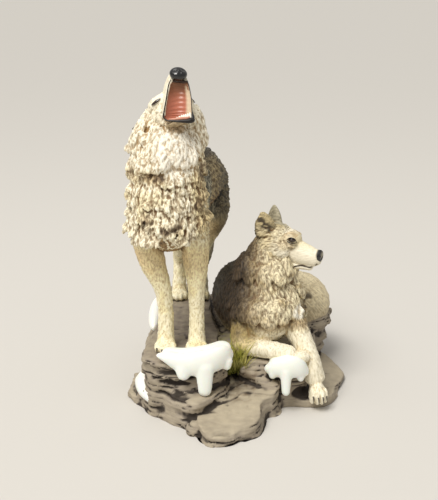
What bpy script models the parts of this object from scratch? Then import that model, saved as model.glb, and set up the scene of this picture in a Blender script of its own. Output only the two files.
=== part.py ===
"""A painted cast figurine: a howling wolf on a layered rock beside a resting wolf, with snow and a tuft of grass.

The real thing is one casting, so the model is one solid. Sizes are in millimetres until the mesh is made.
X runs to the viewer's right, Y away from the viewer and Z up. The origin is on the flat underside, near its middle.
"""

import math

import bmesh
import bpy
import numpy as np
from mathutils import Matrix, Vector

MM = 0.001

# Rock base: heights, and outlines seen from above, each as corner points (x, y)
UNDERSIDE = 0.0
BLOCK_HEIGHT = 43.0
BLOCK_RISE = 0.045
BLOCK_OUTLINE = [
    (-5, -44), (-10, -22), (-13, 4), (-17, 36), (-20, 68), (-28, 90), (-44, 94),
    (-57, 78), (-61, 42), (-59, 6), (-62, -22), (-64, -42), (-56, -55), (-38, -58), (-18, -56),
]
SKIRT_HEIGHT = 20.0
SKIRT_OUTLINE = [
    (-64, -36), (-49, -57), (-38, -68), (-26, -73), (-13, -62), (-4, -46), (2, -20), (0, 30),
    (-7, 72), (-22, 94), (-44, 98), (-62, 84), (-68, 45), (-66, 5),
]
LEFT_STONE_HEIGHT = 10.0
LEFT_STONE_OUTLINE = [(-74, -20), (-67, -33), (-55, -38), (-48, -20), (-52, 4), (-66, 8), (-74, -4)]
LOBE_HEIGHT = 13.5
LOBE_SLOPE = 0.21
LOBE_OUTLINE = [
    (-26, -72), (-25, -82), (-19, -93), (-9, -96), (2, -88), (15, -78), (19, -58), (28, -49),
    (31, -32), (20, -14), (-5, -12), (-22, -40),
]
SADDLE_HEIGHT = 40.0
SADDLE_OUTLINE = [(-8, -22), (-1, -14), (2, 30), (-4, 78), (-20, 90), (-30, 60), (-24, 10)]
LEDGE_HEIGHT = 34.0
LEDGE_OUTLINE = [
    (2, -32), (13, -37), (28, -39), (42, -39), (50, -32), (55, -8), (58, 30), (58, 68),
    (46, 88), (20, 93), (-14, 88), (-22, 55), (-18, 10), (-6, -16),
]
RIGHT_LOBE_HEIGHT = 9.5
RIGHT_LOBE_SLOPE = 0.16
RIGHT_LOBE_OUTLINE = [
    (29, -33), (44, -36), (60, -35), (69, -24), (74, -8), (78.5, 12), (76, 34), (66, 56),
    (50, 80), (20, 76), (8, 30), (12, -20),
]
HAUNCH_ROCK_HEIGHT = 40.0
HAUNCH_ROCK_OUTLINE = [(30, 32), (58, 30), (72, 42), (75, 58), (70, 76), (56, 88), (34, 88), (26, 60)]
LAYER_THICKNESS = 4.3
LAYER_STEP = 2.3
ROCK_CORNERS = 15

# Howling wolf: where it stands, and its body measured from there
HOWLER_STAND_X = -38.0
HOWLER_STAND_Y = -32.0
HOWLER_CHEST_HEIGHT = 94.0
HOWLER_CHEST_HALF_WIDTH = 26.5
HOWLER_CHEST_HALF_DEPTH = 29.0
HOWLER_BODY_LENGTH = 92.0
HOWLER_BODY_TURN = 19.0
HOWLER_RUMP_HALF_WIDTH = 21.5
HOWLER_NECK_HALF_WIDTH = 22.5
HOWLER_HEAD_HEIGHT = 158.0
HOWLER_LEG_HALF_WIDTH = 5.3
HOWLER_PAW_HALF_WIDTH = 8.2
HOWLER_PAW_HEIGHT = 8.5
HOWLER_STANCE = 21.5
HOWLER_TAIL_LENGTH = 72.0
HOWLER_TAIL_HALF_WIDTH = 7.5
HOWLER_HEAD_UP_DEG = 64.0
HOWLER_HEAD_TURN_DEG = 19.0
HOWLER_JAW_OPEN_DEG = 56.0
HOWLER_JAW_SWING_DEG = -18.0
# Skin stretched at each corner of the open mouth: its edge inside the upper jaw, then its lip edge
MOUTH_CORNERS = [
    (
        [(26.5, -3.4, 0.4), (21, -5.4, 1.4), (14.5, -6.2, 1.8), (5, -8, -2)],
        [(26.0, -5.5, -4.5), (21, -8, -8.5), (14, -10.3, -14), (9.2, -11.6, -18.5)],
    ),
    (
        [(26.5, 3.4, 0.4), (21, 5.2, 1.4), (14.5, 6.0, 1.8), (5, 7.6, -2)],
        [(26.3, 4.5, -5), (21.5, 5.6, -11), (14.5, 5.6, -18), (10.3, 5.6, -22)],
    ),
]
MOUTH_CORNER_HALF_THICKNESS = 1.2
# Clumps on the front of the ruff: distance to the side, height of the root, length and half width
HOWLER_CLUMPS = [
    (-16.6, 150, 13, 5.0), (-5.5, 144, 22, 7.3), (7.7, 145, 19, 8.6), (19, 145, 16, 5.0),
    (-17.4, 136, 14, 5.0), (21, 134, 14, 4.5),
    (-15.6, 118, 19, 5.3), (-7.6, 120, 16, 5.0), (3.9, 126, 13, 5.0), (12.6, 127, 13, 5.0), (19.5, 126, 15, 4.4),
    (-3.8, 113, 14, 5.3), (7.5, 111, 15, 5.3), (16.2, 112, 13, 4.6),
    (-18.5, 101, 15, 4.4), (-11.0, 103, 11, 4.0), (-4.5, 99, 13, 4.8), (6.2, 101, 13, 5.3),
    (-16.0, 87, 11, 4.4), (-7.9, 87, 11, 4.4), (1.4, 93, 11, 4.4), (9.8, 86, 9, 4.4), (16.1, 90, 10, 4.0),
]

# Resting wolf: where it lies, and its body measured from there
RESTER_LIE_X = 19.0
RESTER_LIE_Y = -6.0
RESTER_CHEST_HALF_WIDTH = 22.0
RESTER_BACK_HEIGHT = 53.0
RESTER_BODY_LENGTH = 82.0
RESTER_NECK_HALF_WIDTH = 18.0
RESTER_HEAD_HEIGHT = 75.0
RESTER_HAUNCH_REACH = 54.0
RESTER_LEG_HALF_WIDTH = 6.4
RESTER_PAW_HALF_WIDTH = 7.0
RESTER_TAIL_HALF_WIDTH = 7.0
# The heel of the paw that hangs over the ledge
RESTER_LOW_PAW = (35.5, -26, -28.5)
RESTER_HEAD_UP_DEG = -7.0
RESTER_HEAD_TURN_DEG = 66.0

# Head, shared by both wolves
SKULL_HALF_WIDTH = 12.5
MUZZLE_LENGTH = 30.0
MUZZLE_HALF_WIDTH = 7.6
NOSE_HALF_WIDTH = 4.6
EAR_LENGTH = 13.0
EAR_HALF_WIDTH = 6.0
EYE_RADIUS = 1.7

# Fur locks, snow and grass
LOCK_LENGTH = 13.0
LOCK_HALF_WIDTH = 5.4
LOCK_LIFT = 3.6
SNOW_THICKNESS = 7.0
# Snow seen from the front: points along each roll with the heights of its lower and upper edges
BLOCK_SNOW = [
    (-51, -54, 44, 47), (-45, -57, 40.5, 49), (-36, -59, 35, 49), (-26, -60, 33, 50.5), (-16, -58.5, 35, 52),
    (-9, -54, 36.5, 52.5), (-5.5, -48, 38.5, 48.5),
]
LEDGE_SNOW = [
    (22, -40, 26.5, 33.5), (27, -43.5, 25.2, 38.8), (35, -45, 25.5, 41.5), (42, -43.5, 24.5, 38.5), (46, -40, 24, 32),
]
# Drips: where each starts, how low it reaches and its half width
SNOW_DRIPS = [
    (-35, -59.5, 40, 30, 6.2), (-21, -60.5, 40, 19, 6.4), (-6.5, -53, 41, 35, 4.0),
    (24.5, -42, 31, 24, 4.0), (33.3, -45.5, 31, 13, 4.2), (43.3, -42, 30, 22, 3.8),
]
LEFT_SNOW = (-63, -22, 12)
LEFT_SNOW_RADII = (7, 10, 8.6)
EDGE_SNOW = (-58.5, 36, 42.5)
EDGE_SNOW_RADII = (5.6, 33, 7)
GRASS_LENGTH = 26.0

# Casting
VOXELS_OVER_HEIGHT = 150
SMOOTHING_PASSES = 1
TRIANGLES = 11600


def smooth_rows(rows, per_span=5):
    """A Catmull-Rom curve through rows of numbers, with per_span points from each row to the next."""
    rows = np.array(rows, float)
    ends = np.vstack([2 * rows[0] - rows[1], rows, 2 * rows[-1] - rows[-2]])
    t = np.arange(per_span)[:, None] / per_span
    spans = [
        0.5 * (2 * b + t * (c - a) + t**2 * (2 * a - 5 * b + 4 * c - d) + t**3 * (3 * b - a - 3 * c + d))
        for a, b, c, d in zip(ends, ends[1:], ends[2:], ends[3:])
    ]
    return np.vstack([*spans, rows[-1:]])


def add_rings(bm, rings):
    """Joins rings of points into one closed form whose ends close on a middle point."""
    loops = [[bm.verts.new(point) for point in ring] for ring in rings]
    count = len(loops[0])
    for lower, upper in zip(loops, loops[1:]):
        for i in range(count):
            j = (i + 1) % count
            bm.faces.new((lower[i], lower[j], upper[j], upper[i]))
    for loop, order in ((loops[0], -1), (loops[-1], 1)):
        pole = bm.verts.new(sum((v.co for v in loop), Vector()) / count)
        for i in range(count):
            pair = (loop[i], loop[(i + 1) % count])
            bm.faces.new((*pair[::order], pole))


def tube(bm, place, rows, across=(1, 0, 0), sides=16, dome=0.6):
    """A limb: elliptical rings (x, y, z, half width, half depth) square to a smooth path, with domed ends.

    The half width lies along `across`, and the half depth along the path's tangent crossed with it.
    """
    rows = smooth_rows(rows)
    centres, sizes = rows[:, :3], np.maximum(rows[:, 3:], 0.3)
    tangents = np.gradient(centres, axis=0)
    tangents /= np.linalg.norm(tangents, axis=1)[:, None]
    wide = np.array(across) - tangents * (tangents @ np.array(across))[:, None]
    wide /= np.linalg.norm(wide, axis=1)[:, None]
    deep = np.cross(tangents, wide)
    stations = list(zip(centres, sizes, wide, deep))
    for end, way in ((0, -1), (-1, 1)):
        for angle in (35, 65, 85):
            lean = math.sin(math.radians(angle)) * dome * sizes[end].mean() * way
            size = sizes[end] * math.cos(math.radians(angle))
            ring = (centres[end] + tangents[end] * lean, size, wide[end], deep[end])
            stations.insert(0 if way < 0 else len(stations), ring)
    turns = np.linspace(0, 2 * math.pi, sides, endpoint=False)
    rings = [
        [place @ Vector(c + w * s[0] * math.cos(a) + d * s[1] * math.sin(a)) for a in turns]
        for c, s, w, d in stations
    ]
    add_rings(bm, rings)


def ball(bm, place, centre, radii, turn_deg=(0, 0, 0)):
    """An ellipsoid."""
    turn = Matrix.Rotation(math.radians(turn_deg[2]), 4, "Z")
    turn = turn @ Matrix.Rotation(math.radians(turn_deg[1]), 4, "Y")
    turn = turn @ Matrix.Rotation(math.radians(turn_deg[0]), 4, "X")
    shape = Matrix.Translation(centre) @ turn @ Matrix.Diagonal((*radii, 1))
    bmesh.ops.create_uvsphere(bm, u_segments=16, v_segments=10, radius=1, matrix=place @ shape)


def slab(bm, outline, top, seed, foot=1.0, slope=(0, 0), base=UNDERSIDE):
    """A layered rock: a smoothed outline stacked in uneven, chipped layers under a nearly flat top.

    The outline holds at the top and is `foot` times as wide below; `slope` tilts the top along X and Y.
    """
    rng = np.random.default_rng(seed)
    rim = smooth_rows([*outline, outline[0]], 5)[:-1]
    middle = rim.mean(axis=0)
    arms = rim - middle
    reach = np.linalg.norm(arms, axis=1)
    bottom = base - LAYER_THICKNESS
    layers = max(2, round((top - bottom) / LAYER_THICKNESS))
    rings = []
    for layer in range(layers):
        corners = np.sort(rng.choice(len(rim), round(ROCK_CORNERS), replace=False))
        chips = np.interp(np.arange(len(rim)), corners, rng.uniform(-1, 1, len(corners)), period=len(rim))
        step = LAYER_STEP * (chips + rng.uniform(-0.6, 0.6))
        for edge in (0.06, 0.84):
            share = (layer + edge) / layers
            rings.append(((foot + (1 - foot) * share) + step / reach, share))
    for inset in (0.95, 0.6, 0.25):
        rings.append((rings[2 * layers - 1][0] * inset, 1.0))
    solid = []
    for size, share in rings:
        points = middle + arms * size[:, None]
        heights = bottom + (top + (points - middle) @ np.array(slope) - bottom) * share
        solid.append([Vector((x, y, z)) for (x, y), z in zip(points, heights)])
    add_rings(bm, solid)


def lock(bm, place, root, out, down, length, half_width, lift):
    """A clump of fur: it lies along `down` from its root, swells outwards and ends in a blunt, lifted tip."""
    out, down, root = Vector(out).normalized(), Vector(down).normalized(), Vector(root)
    side = down.cross(out).normalized()
    shape = ((-0.3, 0.6, -0.4), (0.1, 1.0, 0.1), (0.5, 1.0, 0.6), (0.85, 0.72, 0.9), (1.0, 0.3, 0.8))
    rows = []
    for along, width, raise_by in shape:
        centre = root + down * along * length + out * raise_by * lift
        rows.append((*centre, width * half_width, 0.55 * width * half_width))
    tube(bm, place, rows, across=tuple(side), sides=8, dome=0.3)


def lock_row(bm, place, centre, half, height, angles, length, seed, sink=2.0):
    """Locks hung round an upright oval of the coat, with small differences between neighbours."""
    rng = np.random.default_rng(seed)
    for angle in angles:
        a = math.radians(angle + rng.uniform(-4, 4))
        out = Vector((math.cos(a) / half[0], math.sin(a) / half[1], 0)).normalized()
        reach = Vector((half[0] * math.cos(a), half[1] * math.sin(a), 0))
        root = Vector((*centre, height + rng.uniform(-2, 2))) + reach - out * sink
        down = Vector((rng.uniform(-0.25, 0.25), 0, -1)) + out * 0.12
        size = rng.uniform(0.8, 1.2)
        lock(bm, place, root, out, down, length * size, LOCK_HALF_WIDTH * size, LOCK_LIFT)


def ruff_clumps(bm, place):
    """The big clumps that hang in tiers over the front of the ruff, each rooted on the coat at its own height."""
    low, high = HOWLER_CHEST_HEIGHT - 4, HOWLER_HEAD_HEIGHT - 8
    for aside, height, length, half_width in HOWLER_CLUMPS:
        share = min(max((height - low) / (high - low), 0), 1)
        half_x = (1 - share) * 0.90 * HOWLER_CHEST_HALF_WIDTH + share * 0.94 * HOWLER_NECK_HALF_WIDTH
        half_y = (1 - share) * 0.90 * HOWLER_CHEST_HALF_DEPTH + share * 0.93 * HOWLER_NECK_HALF_WIDTH
        lean = min(max(aside / half_x, -0.96), 0.96)
        front = -math.sqrt(1 - lean * lean)
        out = Vector((lean / half_x, front / half_y, 0)).normalized()
        root = Vector((lean * half_x - 8, front * half_y + 5 + 5 * share, height)) - out
        lock(bm, place, root, out, Vector((0, 0, -1)) + out * 0.12, length, half_width, LOCK_LIFT)


def web(bm, place, upper, lower, half_thickness):
    """A wall of skin between two edges, each a list of points: flattened rings reach from edge to edge."""
    upper, lower = smooth_rows(upper), smooth_rows(lower)
    centres, arms = 0.5 * (upper + lower), 0.5 * (lower - upper)
    faces = np.cross(np.gradient(centres, axis=0), arms)
    faces *= half_thickness / np.linalg.norm(faces, axis=1)[:, None]
    turns = np.linspace(0, 2 * math.pi, 12, endpoint=False)
    rings = [
        [place @ Vector(c + a * math.cos(t) + f * math.sin(t)) for t in turns]
        for c, a, f in zip(centres, arms, faces)
    ]
    add_rings(bm, rings)


def head_place(place, centre, up_deg, turn_deg):
    """The head's own frame: +X along the muzzle, +Y to the wolf's left, +Z out of its crown.

    The muzzle points at the viewer when turn_deg is 0 and to the viewer's right at 90.
    """
    turn = Matrix.Rotation(math.radians(turn_deg - 90), 4, "Z")
    tilt = Matrix.Rotation(math.radians(-up_deg), 4, "Y")
    return place @ Matrix.Translation(centre) @ turn @ tilt


def ear(bm, place, base, lean, length, half_width, across):
    """An ear: a flattened cone, broad along `across`, whose tip leans the given way."""
    tip = Vector(base) + Vector(lean).normalized() * length
    rows = []
    for share, width in ((-0.2, 1.0), (0.15, 0.95), (0.5, 0.75), (0.8, 0.42), (1.0, 0.12)):
        point = Vector(base).lerp(tip, share)
        rows.append((*point, half_width * width, 0.42 * half_width * width))
    tube(bm, place, rows, across=across, sides=10, dome=0.3)


def skull(bm, place):
    """Cranium, cheeks, forehead and brows of a wolf, in the head's own frame."""
    wide = SKULL_HALF_WIDTH
    ball(bm, place, (-4, 0, 1), (1.12 * wide, wide, 0.88 * wide))
    ball(bm, place, (5, 0, 3.2), (0.75 * wide, 0.74 * wide, 0.52 * wide))
    for side in (-1, 1):
        ball(bm, place, (-3, side * 0.70 * wide, -4.5), (wide, 0.62 * wide, 0.72 * wide))
        ball(bm, place, (7.2, side * 0.45 * wide, 5.0), (3.8, 2.9, 2.2))
        ball(bm, place, (8.2, side * 0.52 * wide, 2.9), (EYE_RADIUS, EYE_RADIUS, EYE_RADIUS))


def howler_head(bm, place):
    """Head thrown back with the jaws open: upper jaw with a hollow palate, lower jaw, tongue and flattened ears."""
    skull(bm, place)
    reach, wide = MUZZLE_LENGTH, MUZZLE_HALF_WIDTH
    tube(
        bm,
        place,
        [
            (0.10 * reach, 0, 2.6, 1.30 * wide, 6.2),
            (0.38 * reach, 0, 2.4, 1.06 * wide, 4.2),
            (0.62 * reach, 0, 2.0, 0.98 * wide, 3.4),
            (0.84 * reach, 0, 1.2, 0.82 * wide, 3.0),
            (0.95 * reach, 0, 0.6, 0.60 * wide, 2.8),
        ],
        across=(0, 1, 0),
    )
    ball(bm, place, (reach - 0.3, 0, -0.2), (3.2, 0.95 * NOSE_HALF_WIDTH, 4.2))
    ball(bm, place, (3.5, -1.5, 0.5), (10.5, 1.24 * SKULL_HALF_WIDTH, 8.5))
    for side in (-1, 1):
        base, lean = (-9, side * 1.05 * SKULL_HALF_WIDTH, 2), (-0.64, side * 0.43, 0.63)
        ear(bm, place, base, lean, 1.45 * EAR_LENGTH, EAR_HALF_WIDTH, (0.25, 1, 0))
    for gum, lip in MOUTH_CORNERS:
        web(bm, place, gum, lip, MOUTH_CORNER_HALF_THICKNESS)
    hinge = Matrix.Translation((-1, 0, -6)) @ Matrix.Rotation(math.radians(HOWLER_JAW_SWING_DEG), 4, "Z")
    jaw = place @ hinge @ Matrix.Rotation(math.radians(HOWLER_JAW_OPEN_DEG), 4, "Y")
    tube(
        bm,
        jaw,
        [
            (-6, 0, -2.5, 1.16 * wide, 4.6),
            (4, 0, -2.0, 1.22 * wide, 3.8),
            (0.42 * reach, 0, -1.8, 1.14 * wide, 2.8),
            (0.60 * reach, 0, -1.4, 0.96 * wide, 2.2),
        ],
        across=(0, 1, 0),
    )
    tongue = [(-2, 0, 1.2, 4.6, 2.0), (6, 0, 1.0, 4.4, 1.6), (0.44 * reach, 0, 0.8, 3.6, 1.2)]
    tube(bm, jaw, tongue, across=(0, 1, 0), sides=10)


def rester_head(bm, place):
    """Level head with the mouth shut and both ears pricked."""
    skull(bm, place)
    reach, wide = MUZZLE_LENGTH, 0.86 * MUZZLE_HALF_WIDTH
    tube(
        bm,
        place,
        [
            (0.10 * reach, 0, -3.4, 1.30 * wide, 10.0),
            (0.34 * reach, 0, -4.8, 1.08 * wide, 9.2),
            (0.58 * reach, 0, -5.9, 0.94 * wide, 8.2),
            (0.80 * reach, 0, -6.2, 0.80 * wide, 6.9),
            (0.92 * reach, 0, -5.6, 0.62 * wide, 5.6),
        ],
        across=(0, 1, 0),
    )
    ball(bm, place, (0.97 * reach, 0, -2.4), (2.9, 0.86 * NOSE_HALF_WIDTH, 3.3))
    chin = [(0, 0, -11.0, 6.4, 3.4), (10, 0, -12.4, 5.2, 2.6), (0.76 * reach, 0, -12.0, 3.6, 2.2)]
    tube(bm, place, chin, across=(0, 1, 0), sides=12)
    for side in (-1, 1):
        base, lean = (-8, side * 0.72 * SKULL_HALF_WIDTH, 8.0), (-0.15, side * 0.22, 1)
        ear(bm, place, base, lean, EAR_LENGTH, 1.15 * EAR_HALF_WIDTH, (0.85, -0.5 * side, 0))


def paw(bm, place, heel, half_width, height, length, heading_deg=-90):
    """A foot: a low pad with four rounded toes in front, facing along heading_deg round Z from +X."""
    turn = Matrix.Translation(heel) @ Matrix.Rotation(math.radians(heading_deg), 4, "Z")
    here = place @ turn
    ball(bm, here, (0.30 * length, 0, 0.42 * height), (0.52 * length, 0.80 * half_width, 0.62 * height))
    toe = (0.30 * length, 0.27 * half_width, 0.40 * height)
    for lane, reach in ((-0.66, 0.62), (-0.23, 0.78), (0.23, 0.78), (0.66, 0.62)):
        ball(bm, here, (reach * length, lane * half_width, 0.34 * height), toe)


def howler(bm):
    """The standing wolf: body, ruff, four legs with paws, hanging tail and raised head."""
    place = Matrix.Translation((HOWLER_STAND_X, HOWLER_STAND_Y, BLOCK_HEIGHT))
    chest, wide, deep = HOWLER_CHEST_HEIGHT, HOWLER_CHEST_HALF_WIDTH, HOWLER_CHEST_HALF_DEPTH
    back, turn, rump = HOWLER_BODY_LENGTH, HOWLER_BODY_TURN, HOWLER_RUMP_HALF_WIDTH
    tube(
        bm,
        place,
        [
            (-7, -8, chest - 5, 0.68 * wide, 0.68 * deep),
            (-7, 6, chest - 2, 0.96 * wide, 0.96 * deep),
            (-4, 0.30 * back, chest + 10, 0.96 * wide, 1.08 * deep),
            (-6 + 0.5 * turn, 0.58 * back, chest + 12, 0.93 * wide, 0.92 * deep),
            (-6 + 0.8 * turn, 0.83 * back, chest + 7, 1.02 * rump, 0.98 * rump),
            (-6 + 1.0 * turn, 1.02 * back, chest, 0.95 * rump, 0.92 * rump),
            (-6 + 1.1 * turn, 1.16 * back, chest - 7, 0.66 * rump, 0.66 * rump),
        ],
        sides=24,
    )
    neck, crown = HOWLER_NECK_HALF_WIDTH, HOWLER_HEAD_HEIGHT
    tube(
        bm,
        place,
        [
            (-7, 14, chest - 4, 1.06 * neck, 1.06 * neck),
            (-7, 11, chest + 14, 1.06 * neck, 1.06 * neck),
            (-7.5, 10, crown - 31, 0.98 * neck, 0.98 * neck),
            (-7.5, 10, crown - 16, 0.94 * neck, 0.88 * neck),
            (-7, 10, crown - 5, 0.78 * neck, 0.70 * neck),
        ],
        sides=24,
    )
    leg, half_stance = HOWLER_LEG_HALF_WIDTH, 0.5 * HOWLER_STANCE
    for side, foot_x in ((-1, -0.9 * half_stance), (1, 1.05 * half_stance)):
        shoulder = -6 + side * 0.62 * wide
        tube(
            bm,
            place,
            [
                (shoulder, 8, chest + 4, 0.34 * wide, 0.52 * deep),
                (shoulder, 7, chest - 18, 0.36 * wide, 0.44 * deep),
                (0.35 * foot_x + 0.65 * shoulder, 5, 0.62 * chest, 1.65 * leg, 1.75 * leg),
                (0.85 * foot_x + 0.15 * shoulder, 2, 0.44 * chest, 1.12 * leg, 1.20 * leg),
                (foot_x, 2, 0.28 * chest, leg, 1.06 * leg),
                (foot_x, 1, 0.13 * chest, 1.02 * leg, 1.10 * leg),
                (foot_x, 0, 0.05 * chest, 1.16 * leg, 1.30 * leg),
            ],
            sides=14,
        )
        paw(bm, place, (foot_x, 2, 0), HOWLER_PAW_HALF_WIDTH, HOWLER_PAW_HEIGHT, 17)
    for side, foot_x in ((-1, -4.5), (1, 12.5)):
        hip = -6 + turn + side * 0.52 * rump
        rise = BLOCK_RISE * back
        tube(
            bm,
            place,
            [
                (hip, 0.96 * back, chest - 4, 0.46 * rump, 0.80 * rump),
                (hip, 0.90 * back, chest - 22, 0.42 * rump, 0.66 * rump),
                (0.3 * hip + 0.7 * foot_x, 0.94 * back, chest - 40, 1.40 * leg, 1.80 * leg),
                (foot_x, 1.13 * back, 0.36 * chest, 0.92 * leg, 1.15 * leg),
                (foot_x, 1.12 * back, 0.22 * chest, 0.90 * leg, 1.00 * leg),
                (foot_x, 1.09 * back, rise + 4, 1.10 * leg, 1.20 * leg),
            ],
            sides=14,
        )
        paw(bm, place, (foot_x, 1.10 * back, rise - 1.5), 0.92 * HOWLER_PAW_HALF_WIDTH, HOWLER_PAW_HEIGHT, 16)
    tail = HOWLER_TAIL_LENGTH
    thick = HOWLER_TAIL_HALF_WIDTH
    tube(
        bm,
        place,
        [
            (-5 + turn, 1.14 * back, chest + 4, 0.75 * thick, 0.75 * thick),
            (-5 + turn, 1.25 * back, chest - 0.12 * tail, 0.90 * thick, 0.90 * thick),
            (-4 + turn, 1.28 * back, chest - 0.45 * tail, 1.10 * thick, 1.05 * thick),
            (-3 + turn, 1.25 * back, chest - 0.78 * tail, 0.85 * thick, 0.80 * thick),
            (-2 + turn, 1.23 * back, chest - 0.96 * tail, 0.25 * thick, 0.25 * thick),
        ],
        sides=12,
    )
    ruff_clumps(bm, place)
    oval = (-8, 10)
    lock_row(bm, place, oval, (0.90 * neck, 0.90 * neck), crown - 17, range(-20, 201, 22), LOCK_LENGTH, 3)
    lock_row(bm, place, oval, (0.92 * neck, 0.98 * neck), crown - 30, range(-10, 191, 20), 1.1 * LOCK_LENGTH, 4)
    lock_row(bm, place, (-8, 8), (0.86 * wide, 0.92 * deep), chest + 19, (-12, 10, 170, 192), 1.1 * LOCK_LENGTH, 5)
    lock_row(bm, place, (-8, 6), (0.84 * wide, 0.88 * deep), chest + 5, (172, 194), LOCK_LENGTH, 6)
    howler_head(bm, head_place(place, (-3.2, 8, crown), HOWLER_HEAD_UP_DEG, HOWLER_HEAD_TURN_DEG))


def rester(bm):
    """The lying wolf: curled body, haunch, a foreleg folded across, one hanging over the ledge, and level head."""
    place = Matrix.Translation((RESTER_LIE_X, RESTER_LIE_Y, LEDGE_HEIGHT))
    wide, back, length = RESTER_CHEST_HALF_WIDTH, RESTER_BACK_HEIGHT, RESTER_BODY_LENGTH
    tube(
        bm,
        place,
        [
            (3, -16, 0.52 * back, 0.80 * wide, 0.36 * back),
            (0, -2, 0.50 * back, 1.02 * wide, 0.49 * back),
            (-10, 0.26 * length, 0.50 * back, 1.05 * wide, 0.54 * back),
            (-12.5, 0.55 * length, 0.44 * back, 1.02 * wide, 0.48 * back),
            (-3, 0.84 * length, 0.38 * back, 0.95 * wide, 0.42 * back),
            (10, 0.96 * length, 0.34 * back, 0.82 * wide, 0.36 * back),
            (24, 0.94 * length, 0.30 * back, 0.60 * wide, 0.28 * back),
        ],
        across=(1, 0.25, 0),
        sides=24,
    )
    neck, crown = RESTER_NECK_HALF_WIDTH, RESTER_HEAD_HEIGHT
    tube(
        bm,
        place,
        [
            (1, 2, 0.46 * crown, 1.22 * neck, 1.28 * neck),
            (2, 4, 0.64 * crown, 1.10 * neck, 1.16 * neck),
            (4, 6, 0.82 * crown, 0.96 * neck, 1.00 * neck),
            (8, 7, 0.96 * crown, 0.76 * neck, 0.84 * neck),
        ],
        sides=22,
    )
    reach = RESTER_HAUNCH_REACH
    ball(bm, place, (0.5 * reach, 0.70 * length, 0.22 * back), (0.5 * reach, 0.30 * length, 0.46 * back))
    paw(bm, place, (0.52 * reach, 0.48 * length, 0.20 * back), RESTER_PAW_HALF_WIDTH, 11, 15)
    leg = RESTER_LEG_HALF_WIDTH
    tube(bm, place, [(-12, -8, 26, 9, 10), (-15, -15, 14, 8, 8), (-16, -19, 8, leg, leg)], across=(0, 1, 0), sides=12)
    tube(
        bm,
        place,
        [
            (-16, -20, 7.5, leg, leg),
            (-4, -25, 7.5, 1.02 * leg, leg),
            (8, -29, 7.0, 0.96 * leg, 0.95 * leg),
            (18, -31, 5.5, 0.90 * leg, 0.85 * leg),
        ],
        across=(0, 1, 0),
        sides=12,
    )
    ball(bm, place, (23, -31.5, 3.5), (8, 6.5, 4.5))
    tube(
        bm,
        place,
        [
            (16, -6, 27, 1.45 * leg, 1.60 * leg),
            (21, -13, 19, 1.40 * leg, 1.45 * leg),
            (27, -20, 9, 1.16 * leg, 1.15 * leg),
            (32, -26, -2, 1.00 * leg, 1.00 * leg),
            (35, -28, -14, 0.96 * leg, 0.92 * leg),
        ],
        sides=14,
    )
    paw(bm, place, RESTER_LOW_PAW, RESTER_PAW_HALF_WIDTH, 14, 14, heading_deg=-80)
    thick = RESTER_TAIL_HALF_WIDTH
    tube(
        bm,
        place,
        [
            (18, 1.08 * length, 0.26 * back, thick, thick),
            (34, 1.08 * length, 0.20 * back, thick, 0.9 * thick),
            (46, 0.98 * length, 0.14 * back, 0.95 * thick, 0.8 * thick),
            (51, 0.82 * length, 0.12 * back, 0.5 * thick, 0.5 * thick),
        ],
        across=(0, 0, 1),
        sides=12,
    )
    oval = (2, 4)
    lock_row(bm, place, oval, (1.10 * neck, 1.12 * neck), 0.80 * crown, range(150, 400, 28), 0.9 * LOCK_LENGTH, 13)
    lock_row(bm, place, oval, (1.22 * neck, 1.26 * neck), 0.62 * crown, range(150, 395, 24), LOCK_LENGTH, 14)
    lock_row(bm, place, (1, -4), (1.02 * wide, 1.04 * wide), 0.66 * back, range(180, 350, 24), 0.8 * LOCK_LENGTH, 15)
    lock(bm, place, (17, -4, 20), (0.5, -1, 0.2), (1, 0, -0.6), 0.8 * LOCK_LENGTH, 0.5 * LOCK_HALF_WIDTH, 1)
    rester_head(bm, head_place(place, (12.5, 5, crown), RESTER_HEAD_UP_DEG, RESTER_HEAD_TURN_DEG))


def rocks(bm):
    """The base: a tall block under the howler, a ledge under the resting wolf, and lower layered lobes round them."""
    slab(bm, BLOCK_OUTLINE, BLOCK_HEIGHT, 21, foot=0.93, slope=(0, BLOCK_RISE))
    slab(bm, SKIRT_OUTLINE, SKIRT_HEIGHT, 22, foot=1.0)
    slab(bm, LEFT_STONE_OUTLINE, LEFT_STONE_HEIGHT, 23)
    slab(bm, LOBE_OUTLINE, LOBE_HEIGHT, 24, slope=(0, LOBE_SLOPE))
    slab(bm, LEDGE_OUTLINE, LEDGE_HEIGHT, 27, foot=0.95)
    slab(bm, SADDLE_OUTLINE, SADDLE_HEIGHT, 26)
    slab(bm, RIGHT_LOBE_OUTLINE, RIGHT_LOBE_HEIGHT, 28, slope=(-RIGHT_LOBE_SLOPE, 0))
    slab(bm, HAUNCH_ROCK_OUTLINE, HAUNCH_ROCK_HEIGHT, 29, foot=0.62)
    flat = Matrix.Identity(4)
    tube(bm, flat, [(-14, -50, 15, 5, 5), (-19, -60, 10, 5, 5), (-25, -70, 3, 5, 5)], sides=10)
    tube(bm, flat, [(4, -33, 26, 4, 5), (14, -36, 22, 4, 5), (27, -40, 15, 5, 6)], sides=10)


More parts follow.
